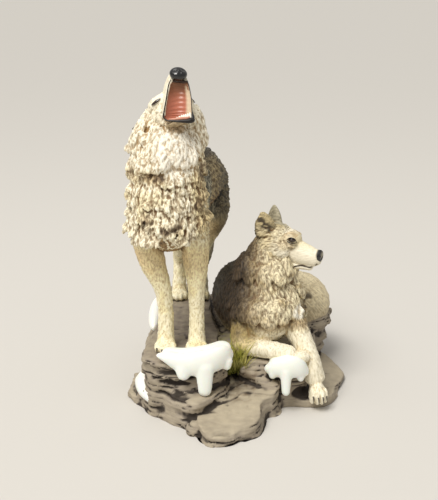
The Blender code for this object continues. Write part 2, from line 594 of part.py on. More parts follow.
def snow(bm):
    """Snow on the rock edges: a roll along each edge, the drips that hang from it, and two heaps on the left."""
    still = Matrix.Identity(4)
    half = 0.5 * SNOW_THICKNESS
    for roll in (BLOCK_SNOW, LEDGE_SNOW):
        rows = [(x, y, 0.5 * (low + high), 0.5 * (high - low), min(half, high - low)) for x, y, low, high in roll]
        tube(bm, still, rows, across=(0, 0, 1), sides=12, dome=0.9)
        rows = [(x, y + SNOW_THICKNESS, high - half, SNOW_THICKNESS, half) for x, y, low, high in roll[1:-1]]
        tube(bm, still, rows, across=(0, 1, 0), sides=12, dome=0.9)
    for x, y, start, reach, half_width in SNOW_DRIPS:
        drip = [(x, y, start, half_width, half), (x, y - 1, reach + 0.6 * half_width, 0.7 * half_width, 0.8 * half)]
        tube(bm, still, drip, sides=12, dome=0.9)
    ball(bm, still, LEFT_SNOW, LEFT_SNOW_RADII)
    ball(bm, still, EDGE_SNOW, EDGE_SNOW_RADII)


def grass(bm):
    """A tuft of grass growing up between the two rocks."""
    place = Matrix.Identity(4)
    for x, y, lean in ((-2, -34, -0.25), (1, -36, -0.05), (4, -35, 0.12), (7, -33, 0.35)):
        foot = Vector((x, y, 18))
        tip = foot + Vector((lean * GRASS_LENGTH, 4, GRASS_LENGTH))
        middle = foot.lerp(tip, 0.5) + Vector((0, -2, 0))
        tube(bm, place, [(*foot, 2.6, 2.6), (*middle, 2.0, 2.0), (*tip, 0.7, 0.7)], sides=8)


def cast(name, forms):
    """Fuses overlapping closed forms into one skin, smooths it, cuts it flat underneath and thins its triangles."""
    bm = bmesh.new()
    for form in forms:
        form(bm)
    bmesh.ops.recalc_face_normals(bm, faces=bm.faces)
    bmesh.ops.scale(bm, vec=(MM, MM, MM), verts=bm.verts)
    height = max(v.co.z for v in bm.verts) - UNDERSIDE * MM
    mesh = bpy.data.meshes.new(name)
    bm.to_mesh(mesh)
    bm.free()
    obj = bpy.data.objects.new(name, mesh)
    bpy.context.scene.collection.objects.link(obj)
    fuse = obj.modifiers.new("fuse", "REMESH")
    fuse.mode = "VOXEL"
    fuse.voxel_size = height / VOXELS_OVER_HEIGHT
    soften = obj.modifiers.new("soften", "SMOOTH")
    soften.iterations = SMOOTHING_PASSES
    keep_evaluated(obj)
    flatten_underside(obj.data)
    thin = obj.modifiers.new("thin", "DECIMATE")
    thin.ratio = min(1.0, TRIANGLES / sum(len(face.vertices) - 2 for face in obj.data.polygons))
    keep_evaluated(obj)
    flatten_underside(obj.data)
    return obj


def keep_evaluated(obj):
    """Replaces the object's mesh with its evaluated one and drops the modifiers."""
    graph = bpy.context.evaluated_depsgraph_get()
    mesh = bpy.data.meshes.new_from_object(obj.evaluated_get(graph))
    obj.modifiers.clear()
    obj.data = mesh


def flatten_underside(mesh):
    """Keeps the largest closed shell, cuts it at the underside and closes the cut with flat faces."""
    bm = bmesh.new()
    bm.from_mesh(mesh)
    geometry = bm.verts[:] + bm.edges[:] + bm.faces[:]
    cut, below = (0, 0, UNDERSIDE * MM), (0, 0, -1)
    bmesh.ops.bisect_plane(bm, geom=geometry, dist=1e-7, plane_co=cut, plane_no=below, clear_outer=True)
    bmesh.ops.holes_fill(bm, edges=[edge for edge in bm.edges if edge.is_boundary])
    loose = set(bm.verts)
    shells = []
    while loose:
        shell, front = set(), [loose.pop()]
        while front:
            vert = front.pop()
            shell.add(vert)
            near = {edge.other_vert(vert) for edge in vert.link_edges} & loose
            loose -= near
            front.extend(near)
        shells.append(shell)
    for shell in sorted(shells, key=len)[:-1]:
        bmesh.ops.delete(bm, geom=list(shell), context="VERTS")
    bmesh.ops.triangulate(bm, faces=bm.faces)
    bm.to_mesh(mesh)
    bm.free()


def painted_resin():
    """Matt painted casting resin in the coat's mean cream colour."""
    material = bpy.data.materials.new("painted_resin")
    material.use_nodes = True
    shader = material.node_tree.nodes["Principled BSDF"]
    shader.inputs["Base Color"].default_value = (0.48, 0.42, 0.33, 1)
    shader.inputs["Roughness"].default_value = 0.72
    shader.inputs["Metallic"].default_value = 0.0
    return material


def main():
    for obj in list(bpy.data.objects):
        bpy.data.objects.remove(obj, do_unlink=True)
    figurine = cast("wolf_figurine", (rocks, howler, rester, snow, grass))
    figurine.data.materials.append(painted_resin())
    figurine.data.shade_smooth()
    figurine.data.set_sharp_from_angle(angle=math.radians(50))


main()
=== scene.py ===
"""Visual model of a hand-painted cast figurine: a howling wolf on a snowy rock beside a resting wolf.

Shapes are worked out in millimetres and written to the meshes in metres. X runs to the viewer's right,
Y away from the viewer and Z up. The wolves and the rock repeat the cast solid's forms with finer skins,
and the carved coat, the strata and the paint are added to those skins.
"""

import math

import bpy
import numpy as np
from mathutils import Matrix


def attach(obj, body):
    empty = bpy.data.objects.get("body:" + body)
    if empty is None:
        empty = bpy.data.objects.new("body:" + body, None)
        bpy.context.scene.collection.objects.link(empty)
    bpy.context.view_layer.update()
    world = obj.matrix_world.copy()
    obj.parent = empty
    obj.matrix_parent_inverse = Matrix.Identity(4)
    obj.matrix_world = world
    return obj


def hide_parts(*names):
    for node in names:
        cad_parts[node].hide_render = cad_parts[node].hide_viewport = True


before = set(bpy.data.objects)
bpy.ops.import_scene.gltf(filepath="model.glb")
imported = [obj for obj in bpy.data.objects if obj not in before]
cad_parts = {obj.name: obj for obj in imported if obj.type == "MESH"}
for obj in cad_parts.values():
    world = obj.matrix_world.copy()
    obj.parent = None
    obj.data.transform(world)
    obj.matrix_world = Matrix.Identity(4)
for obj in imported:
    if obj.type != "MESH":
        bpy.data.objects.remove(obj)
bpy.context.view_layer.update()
MM = 0.001

# Sizes shared with the cast solid, in millimetres
BLOCK_HEIGHT, BLOCK_RISE = 43.0, 0.045
BLOCK_OUTLINE = [
    (-5, -44), (-10, -22), (-13, 4), (-17, 36), (-20, 68), (-28, 90), (-44, 94),
    (-57, 78), (-61, 42), (-59, 6), (-62, -22), (-64, -42), (-56, -55), (-38, -58), (-18, -56),
]
SKIRT_HEIGHT = 20.0
SKIRT_OUTLINE = [
    (-64, -36), (-49, -57), (-38, -68), (-26, -73), (-13, -62), (-4, -46), (2, -20), (0, 30),
    (-7, 72), (-22, 94), (-44, 98), (-62, 84), (-68, 45), (-66, 5),
]
LEFT_STONE_HEIGHT = 10.0
LEFT_STONE_OUTLINE = [(-74, -20), (-67, -33), (-55, -38), (-48, -20), (-52, 4), (-66, 8), (-74, -4)]
LOBE_HEIGHT, LOBE_SLOPE = 13.5, 0.21
LOBE_OUTLINE = [
    (-26, -72), (-25, -82), (-19, -93), (-9, -96), (2, -88), (15, -78), (19, -58), (28, -49),
    (31, -32), (20, -14), (-5, -12), (-22, -40),
]
SADDLE_HEIGHT = 40.0
SADDLE_OUTLINE = [(-8, -22), (-1, -14), (2, 30), (-4, 78), (-20, 90), (-30, 60), (-24, 10)]
LEDGE_HEIGHT = 34.0
LEDGE_OUTLINE = [
    (2, -32), (13, -37), (28, -39), (42, -39), (50, -32), (55, -8), (58, 30), (58, 68),
    (46, 88), (20, 93), (-14, 88), (-22, 55), (-18, 10), (-6, -16),
]
RIGHT_LOBE_HEIGHT, RIGHT_LOBE_SLOPE = 9.5, 0.16
RIGHT_LOBE_OUTLINE = [
    (29, -33), (44, -36), (60, -35), (69, -24), (74, -8), (78.5, 12), (76, 34), (66, 56),
    (50, 80), (20, 76), (8, 30), (12, -20),
]
HAUNCH_ROCK_HEIGHT = 40.0
HAUNCH_ROCK_OUTLINE = [(30, 32), (58, 30), (72, 42), (75, 58), (70, 76), (56, 88), (34, 88), (26, 60)]
LAYER_THICKNESS, LAYER_STEP, ROCK_CORNERS = 4.3, 2.3, 15

HOWLER_AT = np.array([-38.0, -32.0, BLOCK_HEIGHT])
CHEST, CHEST_WIDE, CHEST_DEEP = 94.0, 26.5, 29.0
BACK, TURN, RUMP = 92.0, 19.0, 21.5
NECK, CROWN = 22.5, 158.0
LEG, PAW_WIDE, PAW_HIGH, STANCE = 5.3, 8.2, 8.5, 21.5
TAIL, TAIL_THICK = 72.0, 7.5
HEAD_UP, HEAD_TURN, JAW_OPEN, JAW_SWING = 64.0, 19.0, 56.0, -18.0

RESTER_AT = np.array([19.0, -6.0, LEDGE_HEIGHT])
REST_WIDE, REST_BACK, REST_LENGTH = 22.0, 53.0, 82.0
REST_NECK, REST_CROWN, REST_HAUNCH = 18.0, 75.0, 54.0
REST_LEG, REST_PAW, REST_TAIL = 6.4, 7.0, 7.0
REST_HEAD_UP, REST_HEAD_TURN = -7.0, 66.0

# Feet: heel, half width, height and length, and the way the hanging one points, in degrees
FOREFEET = [((side * STANCE, 2, 0), PAW_WIDE, PAW_HIGH, 17) for side in (-0.45, 0.525)]
HANGING_FOOT = ((35.5, -26, -28.5), REST_PAW, 14, 14, -80)

SKULL, MUZZLE, MUZZLE_WIDE, NOSE_WIDE = 12.5, 30.0, 7.6, 4.6
EAR, EAR_WIDE = 13.0, 6.0
LOCK, LOCK_WIDE, LOCK_LIFT = 13.0, 5.4, 3.6
# How wide the faces of each skin are, in millimetres: fine where the carving is, coarse on rock and snow
RUFF_FACE, BODY_FACE, HEAD_FACE = 0.58, 0.78, 0.42
REST_BODY_FACE, REST_HEAD_FACE, ROCK_FACE, SNOW_FACE = 0.73, 0.45, 1.1, 0.9
# Clumps on the front of the ruff: distance to the side, height of the root, length and half width
CLUMPS = np.array([
    (-16.6, 150, 13, 5.0), (-5.5, 144, 22, 7.3), (7.7, 145, 19, 8.6), (19, 145, 16, 5.0),
    (-17.4, 136, 14, 5.0), (21, 134, 14, 4.5),
    (-15.6, 118, 19, 5.3), (-7.6, 120, 16, 5.0), (3.9, 126, 13, 5.0), (12.6, 127, 13, 5.0),
    (19.5, 126, 15, 4.4),
    (-3.8, 113, 14, 5.3), (7.5, 111, 15, 5.3), (16.2, 112, 13, 4.6),
    (-18.5, 101, 15, 4.4), (-11.0, 103, 11, 4.0), (-4.5, 99, 13, 4.8), (6.2, 101, 13, 5.3),
    (-16.0, 87, 11, 4.4), (-7.9, 87, 11, 4.4), (1.4, 93, 11, 4.4), (9.8, 86, 9, 4.4), (16.1, 90, 10, 4.0),
])
# Skin stretched at each corner of the open mouth: its edge inside the upper jaw, then its lip edge
MOUTH_CORNERS = [
    (
        [(26.5, -3.4, 0.4), (21, -5.4, 1.4), (14.5, -6.2, 1.8), (5, -8, -2)],
        [(26.0, -5.5, -4.5), (21, -8, -8.5), (14, -10.3, -14), (9.2, -11.6, -18.5)],
    ),
    (
        [(26.5, 3.4, 0.4), (21, 5.2, 1.4), (14.5, 6.0, 1.8), (5, 7.6, -2)],
        [(26.3, 4.5, -5), (21.5, 5.6, -11), (14.5, 5.6, -18), (10.3, 5.6, -22)],
    ),
]
# Snow seen from the front: points along each roll with the heights of its lower and upper edges
SNOW_THICK = 7.0
BLOCK_SNOW = [
    (-51, -54, 44, 47), (-45, -57, 40.5, 49), (-36, -59, 35, 49), (-26, -60, 33, 50.5), (-16, -58.5, 35, 52),
    (-9, -54, 36.5, 52.5), (-5.5, -48, 38.5, 48.5),
]
LEDGE_SNOW = [
    (22, -40, 26.5, 33.5), (27, -43.5, 25.2, 38.8), (35, -45, 25.5, 41.5), (42, -43.5, 24.5, 38.5),
    (46, -40, 24, 32),
]
# Drips: where each starts, how low it reaches and its half width
SNOW_DRIPS = [
    (-35, -59.5, 40, 30, 6.2), (-21, -60.5, 40, 19, 6.4), (-6.5, -53, 41, 35, 4.0),
    (24.5, -42, 31, 24, 4.0), (33.3, -45.5, 31, 13, 4.2), (43.3, -42, 30, 22, 3.8),
]


# Numbers

def ease(x, low, high):
    """0 before low, 1 after high, and 3t^2 - 2t^3 between them; low may be the larger."""
    t = np.clip((x - low) / (high - low), 0, 1)
    return t * t * (3 - 2 * t)


def unit(vectors):
    return vectors / np.maximum(np.linalg.norm(vectors, axis=-1, keepdims=True), 1e-9)


def noise(points, size, seed=0, octaves=1):
    """Smooth random values, about -1 to 1: random numbers at the corners of cubes, eased between them."""
    total = np.zeros(len(points))
    for octave in range(octaves):
        spot = points * (2**octave / size) + 31.7 * seed + 7.9 * octave
        cell = np.floor(spot).astype(np.int64)
        part = spot - cell
        part = part * part * (3 - 2 * part)
        for corner in np.ndindex(2, 2, 2):
            x, y, z = (cell + corner).T
            mixed = (x * 374761393 + y * 668265263 + z * 1442695041 + seed * 97531) & 0xFFFFFFFF
            mixed = ((mixed ^ (mixed >> 13)) * 1274126177) & 0xFFFFFFFF
            value = ((mixed ^ (mixed >> 16)) & 0xFFFF) / 32767.5 - 1
            total += np.prod(np.where(corner, part, 1 - part), axis=1) * value / 2**octave
    return total


def place(at, up=0.0, turn=90.0):
    """A 4 x 4 frame at a point, with +X raised `up` degrees and turned `turn` degrees from the viewer."""
    turn, up = math.radians(turn - 90), math.radians(-up)
    about_z = np.array([[math.cos(turn), -math.sin(turn), 0], [math.sin(turn), math.cos(turn), 0], [0, 0, 1]])
    about_y = np.array([[math.cos(up), 0, math.sin(up)], [0, 1, 0], [-math.sin(up), 0, math.cos(up)]])
    made = np.eye(4)
    made[:3, :3] = about_z @ about_y
    made[:3, 3] = at
    return made


def moved(where, points):
    return np.asarray(points, float) @ where[:3, :3].T + where[:3, 3]


def seen_from(where, points):
    """Points of the whole model in the coordinates of a frame."""
    return (points - where[:3, 3]) @ where[:3, :3]


def over(values, new, mask):
    """Lays a new value over the values already there, as strongly as the mask says."""
    return values + (np.asarray(new, float) - values) * np.clip(mask, 0, 1)[:, None]


def spot(points, centre, radii):
    """1 inside an ellipsoid and 0 outside it, with a soft edge."""
    return ease(np.linalg.norm((points - np.array(centre)) / np.array(radii), axis=1), 1.25, 0.75)


def stroke(points, path, width):
    """1 on a line through the path's points and 0 beyond `width` mm from it."""
    path = spline(path, 4)
    gap = np.full(len(points), 1e9)
    for a, b in zip(path, path[1:]):
        share = np.clip(((points - a) @ (b - a)) / max((b - a) @ (b - a), 1e-9), 0, 1)
        gap = np.minimum(gap, np.linalg.norm(points - a - share[:, None] * (b - a), axis=1))
    return ease(gap, width, 0.35 * width)


def spline(rows, per_span=5):
    """A Catmull-Rom curve through rows of numbers, with per_span points from each row to the next."""
    rows = np.array(rows, float)
    ends = np.vstack([2 * rows[0] - rows[1], rows, 2 * rows[-1] - rows[-2]])
    t = np.arange(per_span)[:, None] / per_span
    spans = [
        0.5 * (2 * b + t * (c - a) + t**2 * (2 * a - 5 * b + 4 * c - d) + t**3 * (3 * b - a - 3 * c + d))
        for a, b, c, d in zip(ends, ends[1:], ends[2:], ends[3:])
    ]
    return np.vstack([*spans, rows[-1:]])


# Closed forms: each is (points, four-sided faces, three-sided faces)

def close_rings(rings):
    """Rings of points, an array (rings, sides, 3), joined in order; each end is closed on its middle point."""
    count, sides, _ = rings.shape
    here = np.arange(sides)
    after = (here + 1) % sides
    row = np.arange(count - 1)[:, None] * sides
    quads = np.stack([row + here, row + after, row + sides + after, row + sides + here], -1).reshape(-1, 4)
    last = (count - 1) * sides
    first_cap = np.stack([after, here, np.full(sides, count * sides)], -1)
    last_cap = np.stack([last + here, last + after, np.full(sides, count * sides + 1)], -1)
    points = np.vstack([rings.reshape(-1, 3), rings[[0, -1]].mean(axis=1)])
    return points, quads, np.vstack([first_cap, last_cap])


def tube(where, rows, across=(1, 0, 0), sides=20, dome=0.6, per_span=6):
    """A limb: ellipses square to a smooth path, domed at its ends, from rows (x, y, z, half width, half depth).

    Point(s, a) = centre(s) + wide(s) w(s) cos a + deep(s) d(s) sin a, with w along `across`.
    """
    rows = spline(rows, per_span)
    centres, sizes = rows[:, :3], np.maximum(rows[:, 3:], 0.2)
    tangents = unit(np.gradient(centres, axis=0))
    wide = unit(np.array(across) - tangents * (tangents @ np.array(across))[:, None])
    deep = np.cross(tangents, wide)
    caps = np.radians([85, 65, 35])
    for end in (0, -1):
        lean = np.sin(caps) * dome * sizes[end].mean() * (-1 if end == 0 else 1)
        ring_centres = centres[end] + tangents[end] * lean[:, None]
        ring_sizes = sizes[end] * np.cos(caps)[:, None]
        extra = [ring_centres, ring_sizes, np.repeat(wide[[end]], 3, 0), np.repeat(deep[[end]], 3, 0)]
        bodies = (centres, sizes, wide, deep)
        centres, sizes, wide, deep = (
            np.vstack([cap, body] if end == 0 else [body, cap[::-1]]) for cap, body in zip(extra, bodies)
        )
        tangents = np.vstack([tangents[:1], tangents]) if end == 0 else tangents
    turns = np.linspace(0, 2 * math.pi, sides, endpoint=False)
    rings = centres[:, None] + wide[:, None] * (sizes[:, :1] * np.cos(turns))[..., None]
    rings = rings + deep[:, None] * (sizes[:, 1:2] * np.sin(turns))[..., None]
    return close_rings(moved(where, rings))


def ball(where, centre, radii, sides=24):
    """An ellipsoid: (a cos u cos v, b cos u sin v, c sin u)."""
    u = np.linspace(-0.5, 0.5, sides // 2 + 1)[1:-1, None] * math.pi
    v = np.linspace(0, 2 * math.pi, sides, endpoint=False)[None]
    rings = np.stack([np.cos(u) * np.cos(v), np.cos(u) * np.sin(v), np.sin(u) + 0 * v], -1)
    return close_rings(moved(where, rings * np.array(radii) + np.array(centre)))


def slab(outline, top, seed, foot=1.0, slope=(0, 0)):
    """A layered rock: a smoothed outline stacked in uneven, chipped layers under a nearly flat, tilted top.

    Point(layer, i) = middle + arm(i) (scale(layer) + chip(layer, i) / reach(i)).
    """
    rng = np.random.default_rng(seed)
    rim = spline([*outline, outline[0]], 5)[:-1]
    middle = rim.mean(axis=0)
    arms = rim - middle
    reach = np.linalg.norm(arms, axis=1)
    bottom = -LAYER_THICKNESS
    layers = max(2, round((top - bottom) / LAYER_THICKNESS))
    sizes, shares = [], []
    for layer in range(layers):
        corners = np.sort(rng.choice(len(rim), ROCK_CORNERS, replace=False))
        chips = np.interp(np.arange(len(rim)), corners, rng.uniform(-1, 1, ROCK_CORNERS), period=len(rim))
        step = LAYER_STEP * (chips + rng.uniform(-0.6, 0.6))
        for edge in (0.06, 0.84):
            shares.append((layer + edge) / layers)
            sizes.append(foot + (1 - foot) * shares[-1] + step / reach)
    sizes += [sizes[-1] * inset for inset in (0.95, 0.6, 0.25)]
    shares += [1.0] * 3
    flat = arms * np.array(sizes)[..., None]
    rise = bottom + (top + flat @ np.array(slope) - bottom) * np.array(shares)[:, None]
    return close_rings(np.concatenate([flat + middle, rise[..., None]], -1))


def lock(where, root, out, down, length, half_width, lift):
    """A clump of fur: it lies along `down` from its root, swells outwards and ends in a blunt, lifted tip.

    Point(s, a) = root + down s length + out raised(s) lift, and round it an ellipse of width(s) times the
    half width, a little over half as deep.
    """
    out, down, root = unit(np.array(out, float)), unit(np.array(down, float)), np.array(root, float)
    rows = []
    steps = ((-0.3, 0.6, -0.4), (0.1, 1.0, 0.1), (0.5, 1.0, 0.6), (0.85, 0.72, 0.9), (1.0, 0.3, 0.8))
    for along, width, raised in steps:
        centre = root + down * along * length + out * raised * lift
        rows.append((*centre, width * half_width, 0.55 * width * half_width))
    return tube(where, rows, across=tuple(np.cross(down, out)), sides=14, dome=0.3)


def fan(where, root, out, down, length, half_width, lift, rng):
    """A frayed tuft: four thin locks that spread from one root and end at different heights."""
    out, down = unit(np.array(out, float)), unit(np.array(down, float))
    side = np.cross(down, out)
    made = []
    for place_in in (-0.75, -0.25, 0.25, 0.75):
        start = np.array(root, float) + side * place_in * 0.8 * half_width
        way = down + side * (0.35 * place_in + rng.uniform(-0.15, 0.15)) + out * rng.uniform(-0.05, 0.2)
        reach, rise = length * rng.uniform(0.7, 1.15), lift * rng.uniform(0.8, 1.25)
        made.append(lock(where, start, out, way, reach, 0.48 * half_width, rise))
    return made


def lock_row(where, centre, half, height, angles, length, seed, sink=2.0):
    """Clumps hung round an upright oval of the coat, with small differences between neighbours.

    Each root is centre + (a cos angle, b sin angle) at the height, sunk a little way into the coat.
    """
    rng = np.random.default_rng(seed)
    made = []
    for angle in angles:
        a = math.radians(angle + rng.uniform(-4, 4))
        out = unit(np.array([math.cos(a) / half[0], math.sin(a) / half[1], 0]))
        reach = np.array([half[0] * math.cos(a), half[1] * math.sin(a), 0])
        root = np.array([*centre, height + rng.uniform(-2, 2)]) + reach - out * sink
        down = np.array([rng.uniform(-0.25, 0.25), 0, -1]) + out * 0.12
        size = rng.uniform(0.8, 1.2)
        made.append(lock(where, root, out, down, length * size, LOCK_WIDE * size, LOCK_LIFT))
    return made


def paw(where, heel, half_width, height, length, heading=-90.0):
    """A foot: a low pad with four rounded toes in front, facing along `heading` degrees round Z from +X.

    Five ellipsoids, whose middles and radii are shares of the foot's length, half width and height.
    """
    here = where @ place(heel, 0, heading + 90)
    made = [ball(here, (0.30 * length, 0, 0.42 * height), (0.52 * length, 0.80 * half_width, 0.62 * height))]
    for lane, reach in ((-0.66, 0.62), (-0.23, 0.78), (0.23, 0.78), (0.66, 0.62)):
        centre = (reach * length, lane * half_width, 0.34 * height)
        made.append(ball(here, centre, (0.30 * length, 0.27 * half_width, 0.40 * height)))
    return made


def claws(where, heel, half_width, height, length, heading=-90.0):
    """Four short, pointed claws that come out of the toes of a foot and bend down.

    Each is a tube of three circles, 0.6, 0.5 and 0.15 mm in radius, 2 mm long from the toe to its tip.
    """
    here = where @ place(heel, 0, heading + 90)
    made = []
    for lane, reach in ((-0.66, 0.86), (-0.23, 1.02), (0.23, 1.02), (0.66, 0.86)):
        x, y = reach * length, lane * half_width
        rows = [
            (x, y, 0.42 * height, 0.6, 0.6),
            (x + 1.4, y, 0.34 * height, 0.5, 0.5),
            (x + 2.0, y, 0.14 * height, 0.15, 0.15),
        ]
        made.append(tube(here, rows, across=(0, 1, 0), sides=10))
    return made


def ear(where, base, lean, length, half_width, across):
    """An ear: a flattened cone, broad along `across`, whose tip leans the given way.

    Point(s, a) = base + s length lean, and round it an ellipse of width(s) times the half width, 0.42 times
    as deep.
    """
    base = np.array(base, float)
    tip = base + unit(np.array(lean, float)) * length
    rows = [
        (*(base + (tip - base) * share), half_width * width, 0.42 * half_width * width)
        for share, width in ((-0.2, 1.0), (0.15, 0.97), (0.5, 0.82), (0.8, 0.52), (1.0, 0.2))
    ]
    return tube(where, rows, across=across, sides=16, dome=0.3)


def web(where, upper, lower, half_thickness):
    """A wall of skin between two edges: point(s, a) = middle(s) + half span(s) cos a + thickness sin a."""
    upper, lower = spline(upper, 6), spline(lower, 6)
    centres, arms = 0.5 * (upper + lower), 0.5 * (lower - upper)
    faces = half_thickness * unit(np.cross(np.gradient(centres, axis=0), arms))
    turns = np.linspace(0, 2 * math.pi, 20, endpoint=False)[:, None]
    rings = centres[:, None] + arms[:, None] * np.cos(turns) + faces[:, None] * np.sin(turns)
    return close_rings(moved(where, rings))


# Meshes

def solid(name, forms):
    """One mesh object from closed forms, with every form's points kept apart."""
    points, quads, tris, start = [], [], [], 0
    for form_points, form_quads, form_tris in forms:
        points.append(form_points)
        quads.append(form_quads + start)
        tris.append(form_tris + start)
        start += len(form_points)
    mesh = bpy.data.meshes.new(name)
    faces = np.vstack(quads).tolist() + np.vstack(tris).tolist()
    mesh.from_pydata((np.vstack(points) * MM).tolist(), [], faces)
    mesh.shade_smooth()
    obj = bpy.data.objects.new(name, mesh)
    bpy.context.scene.collection.objects.link(obj)
    return obj


def skin(name, forms, voxel, passes=2):
    """Fuses closed forms into one skin whose faces are about `voxel` mm wide."""
    obj = solid(name, forms)
    fuse = obj.modifiers.new("fuse", "REMESH")
    fuse.mode, fuse.voxel_size = "VOXEL", voxel * MM
    soften = obj.modifiers.new("soften", "SMOOTH")
    soften.iterations = passes
    mesh = bpy.data.meshes.new_from_object(obj.evaluated_get(bpy.context.evaluated_depsgraph_get()))
    obj.modifiers.clear()
    obj.data = mesh
    mesh.shade_smooth()
    return obj


def read(obj):
    """A mesh's points in millimetres and its normals."""
    mesh = obj.data
    points, normals = np.empty(3 * len(mesh.vertices)), np.empty(3 * len(mesh.vertices))
    mesh.vertices.foreach_get("co", points)
    mesh.vertices.foreach_get("normal", normals)
    return points.reshape(-1, 3) / MM, normals.reshape(-1, 3)


def write(obj, points):
    obj.data.vertices.foreach_set("co", (points * MM).ravel())
    obj.data.update()


def store(obj, name, values):
    """Keeps one number, or three, for each point of a mesh, for its material to read."""
    values = np.asarray(values, float)
    kind, key = ("FLOAT", "value") if values.ndim == 1 else ("FLOAT_VECTOR", "vector")
    obj.data.attributes.new(name, kind, "POINT").data.foreach_set(key, values.ravel())


# Coat

def roots(points, spacing, rng):
    """Scattered points at least `spacing` apart, taken one by one from a random order."""
    left = rng.permutation(len(points))[:24000]
    chosen = []
    while len(left):
        first = left[0]
        chosen.append(first)
        gap = points[left] - points[first]
        left = left[(gap * gap).sum(axis=1) > spacing[first] ** 2]
    return np.array(chosen)


def comb(points, normals, flow, spacing, length, width, lift, seed):
    """Overlapping locks of carved hair over a skin.

    In a lock, s runs from 0 at its root to 1 at its tip along the flow, and t from -1 to 1 across it. Its
    height is lift * ease(s) * sqrt(1 - t^2), its sides draw in to a ragged tip, and where locks overlap the
    highest one shows. The skin just past a tip lies in its shade. Returns the height in mm and how hollow each
    point is, from 0 to 1.
    """
    rng = np.random.default_rng(seed)
    chosen = roots(points, spacing, rng)
    middle, along, face = points[chosen], flow[chosen], normals[chosen]
    along = along + rng.normal(0, 0.16, along.shape)
    along = unit(along - face * (along * face).sum(axis=1, keepdims=True))
    side = unit(np.cross(along, face))
    size = rng.uniform(0.75, 1.3, len(chosen))
    long, wide = length[chosen] * size, width[chosen] * size
    high = lift[chosen] * rng.uniform(0.65, 1.25, len(chosen))
    root = middle - along * (0.5 * long)[:, None]
    height, hollow = np.zeros(len(points)), np.ones(len(points))
    cells = np.floor(points / (1.2 * np.median(long) + 2)).astype(np.int64)
    key = (cells[:, 0] * 4096 + cells[:, 1]) * 4096 + cells[:, 2]
    ranked = np.argsort(key, kind="stable")
    for group in np.split(ranked, np.flatnonzero(np.diff(key[ranked])) + 1):
        here = points[group]
        centre = here.mean(axis=0)
        radius = np.sqrt(((here - centre) ** 2).sum(axis=1).max())
        near = np.flatnonzero(np.linalg.norm(middle - centre, axis=1) < radius + 0.9 * long + wide)
        if not len(near):
            continue
        offset = here[:, None] - root[near]
        s = (offset * along[near]).sum(axis=2) / long[near]
        t = (offset * side[near]).sum(axis=2) / wide[near]
        off = np.abs((offset * face[near]).sum(axis=2))
        same = (normals[group] @ face[near].T > 0.1) & (off < 0.6 * long[near])
        draw = np.clip(1 - 0.45 * np.clip(s, 0, 1) ** 2, 0.2, 1)
        across = t / draw
        strand = np.cos(across * wide[near] * 3.6 + near * 2.1)
        ragged = s + 0.07 * strand + 0.16 * across * across
        same &= (s > -0.25) & (np.abs(across) < 1)
        bulge = np.sqrt(np.clip(1 - across * across, 0, 1))
        rise = ease(s, -0.25, 0.75) * bulge * high[near] * (1 + 0.12 * strand)
        tall = rise * (same & (ragged < 1))
        best = tall.argmax(axis=1)
        pick = np.arange(len(group)), best
        height[group] = tall[pick]
        drop = (rise * same * (ragged >= 1) * ease(ragged, 1.35, 1.02)).max(axis=1) - tall[pick]
        scale = np.maximum(high[near][best], 0.05)
        gap = 1 - tall[pick] / scale
        hollow[group] = np.clip(np.maximum(drop / scale, 0.75 * gap * gap), 0, 1)
    return height, hollow


def sunken(obj, passes):
    """How far each point lies under the mean of the points round it, in mm: above 0 in a hollow.

    The mean is taken over the ring of neighbours `passes` times, so it reaches about sqrt(passes) edges out.
    """
    points, normals = read(obj)
    count = len(points)
    ends = np.empty(2 * len(obj.data.edges), np.int32)
    obj.data.edges.foreach_get("vertices", ends)
    a, b = ends.reshape(-1, 2).T
    share = 1 / (np.bincount(a, minlength=count) + np.bincount(b, minlength=count))
    mean = points.copy()
    for _ in range(passes):
        sums = [np.bincount(a, part[b], count) + np.bincount(b, part[a], count) for part in mean.T]
        mean = np.stack(sums, -1) * share[:, None]
    return ((mean - points) * normals).sum(axis=1)


def hair_frame(points, along):
    """Points in axes whose third one runs along the hair, given as one direction or as one for each point."""
    along = unit(np.broadcast_to(np.asarray(along, float), points.shape))
    side = unit(np.cross(along, (0.2, 0.95, 0.1)))
    return np.stack([(points * axis).sum(axis=1) for axis in (side, np.cross(along, side), along)], -1)


def curls(points, size, seed):
    """Short wavy ridges of combed hair, from 0 in the cuts to 1 on the crests.

    The height is 1 - 2.2 |noise| over warped points. The points are in a hair frame, and `size` is (mm across,
    mm along) the hair.
    """
    across, along = size
    warp = np.stack([noise(points, 3 * across, seed + k) for k in (1, 2, 3)], -1)
    warp = warp * np.array([0.6, 0.6, 0.5]) * across
    return np.clip(1 - 2.2 * np.abs(noise((points + warp) / (across, across, along), 1.0, seed)), 0, 1)


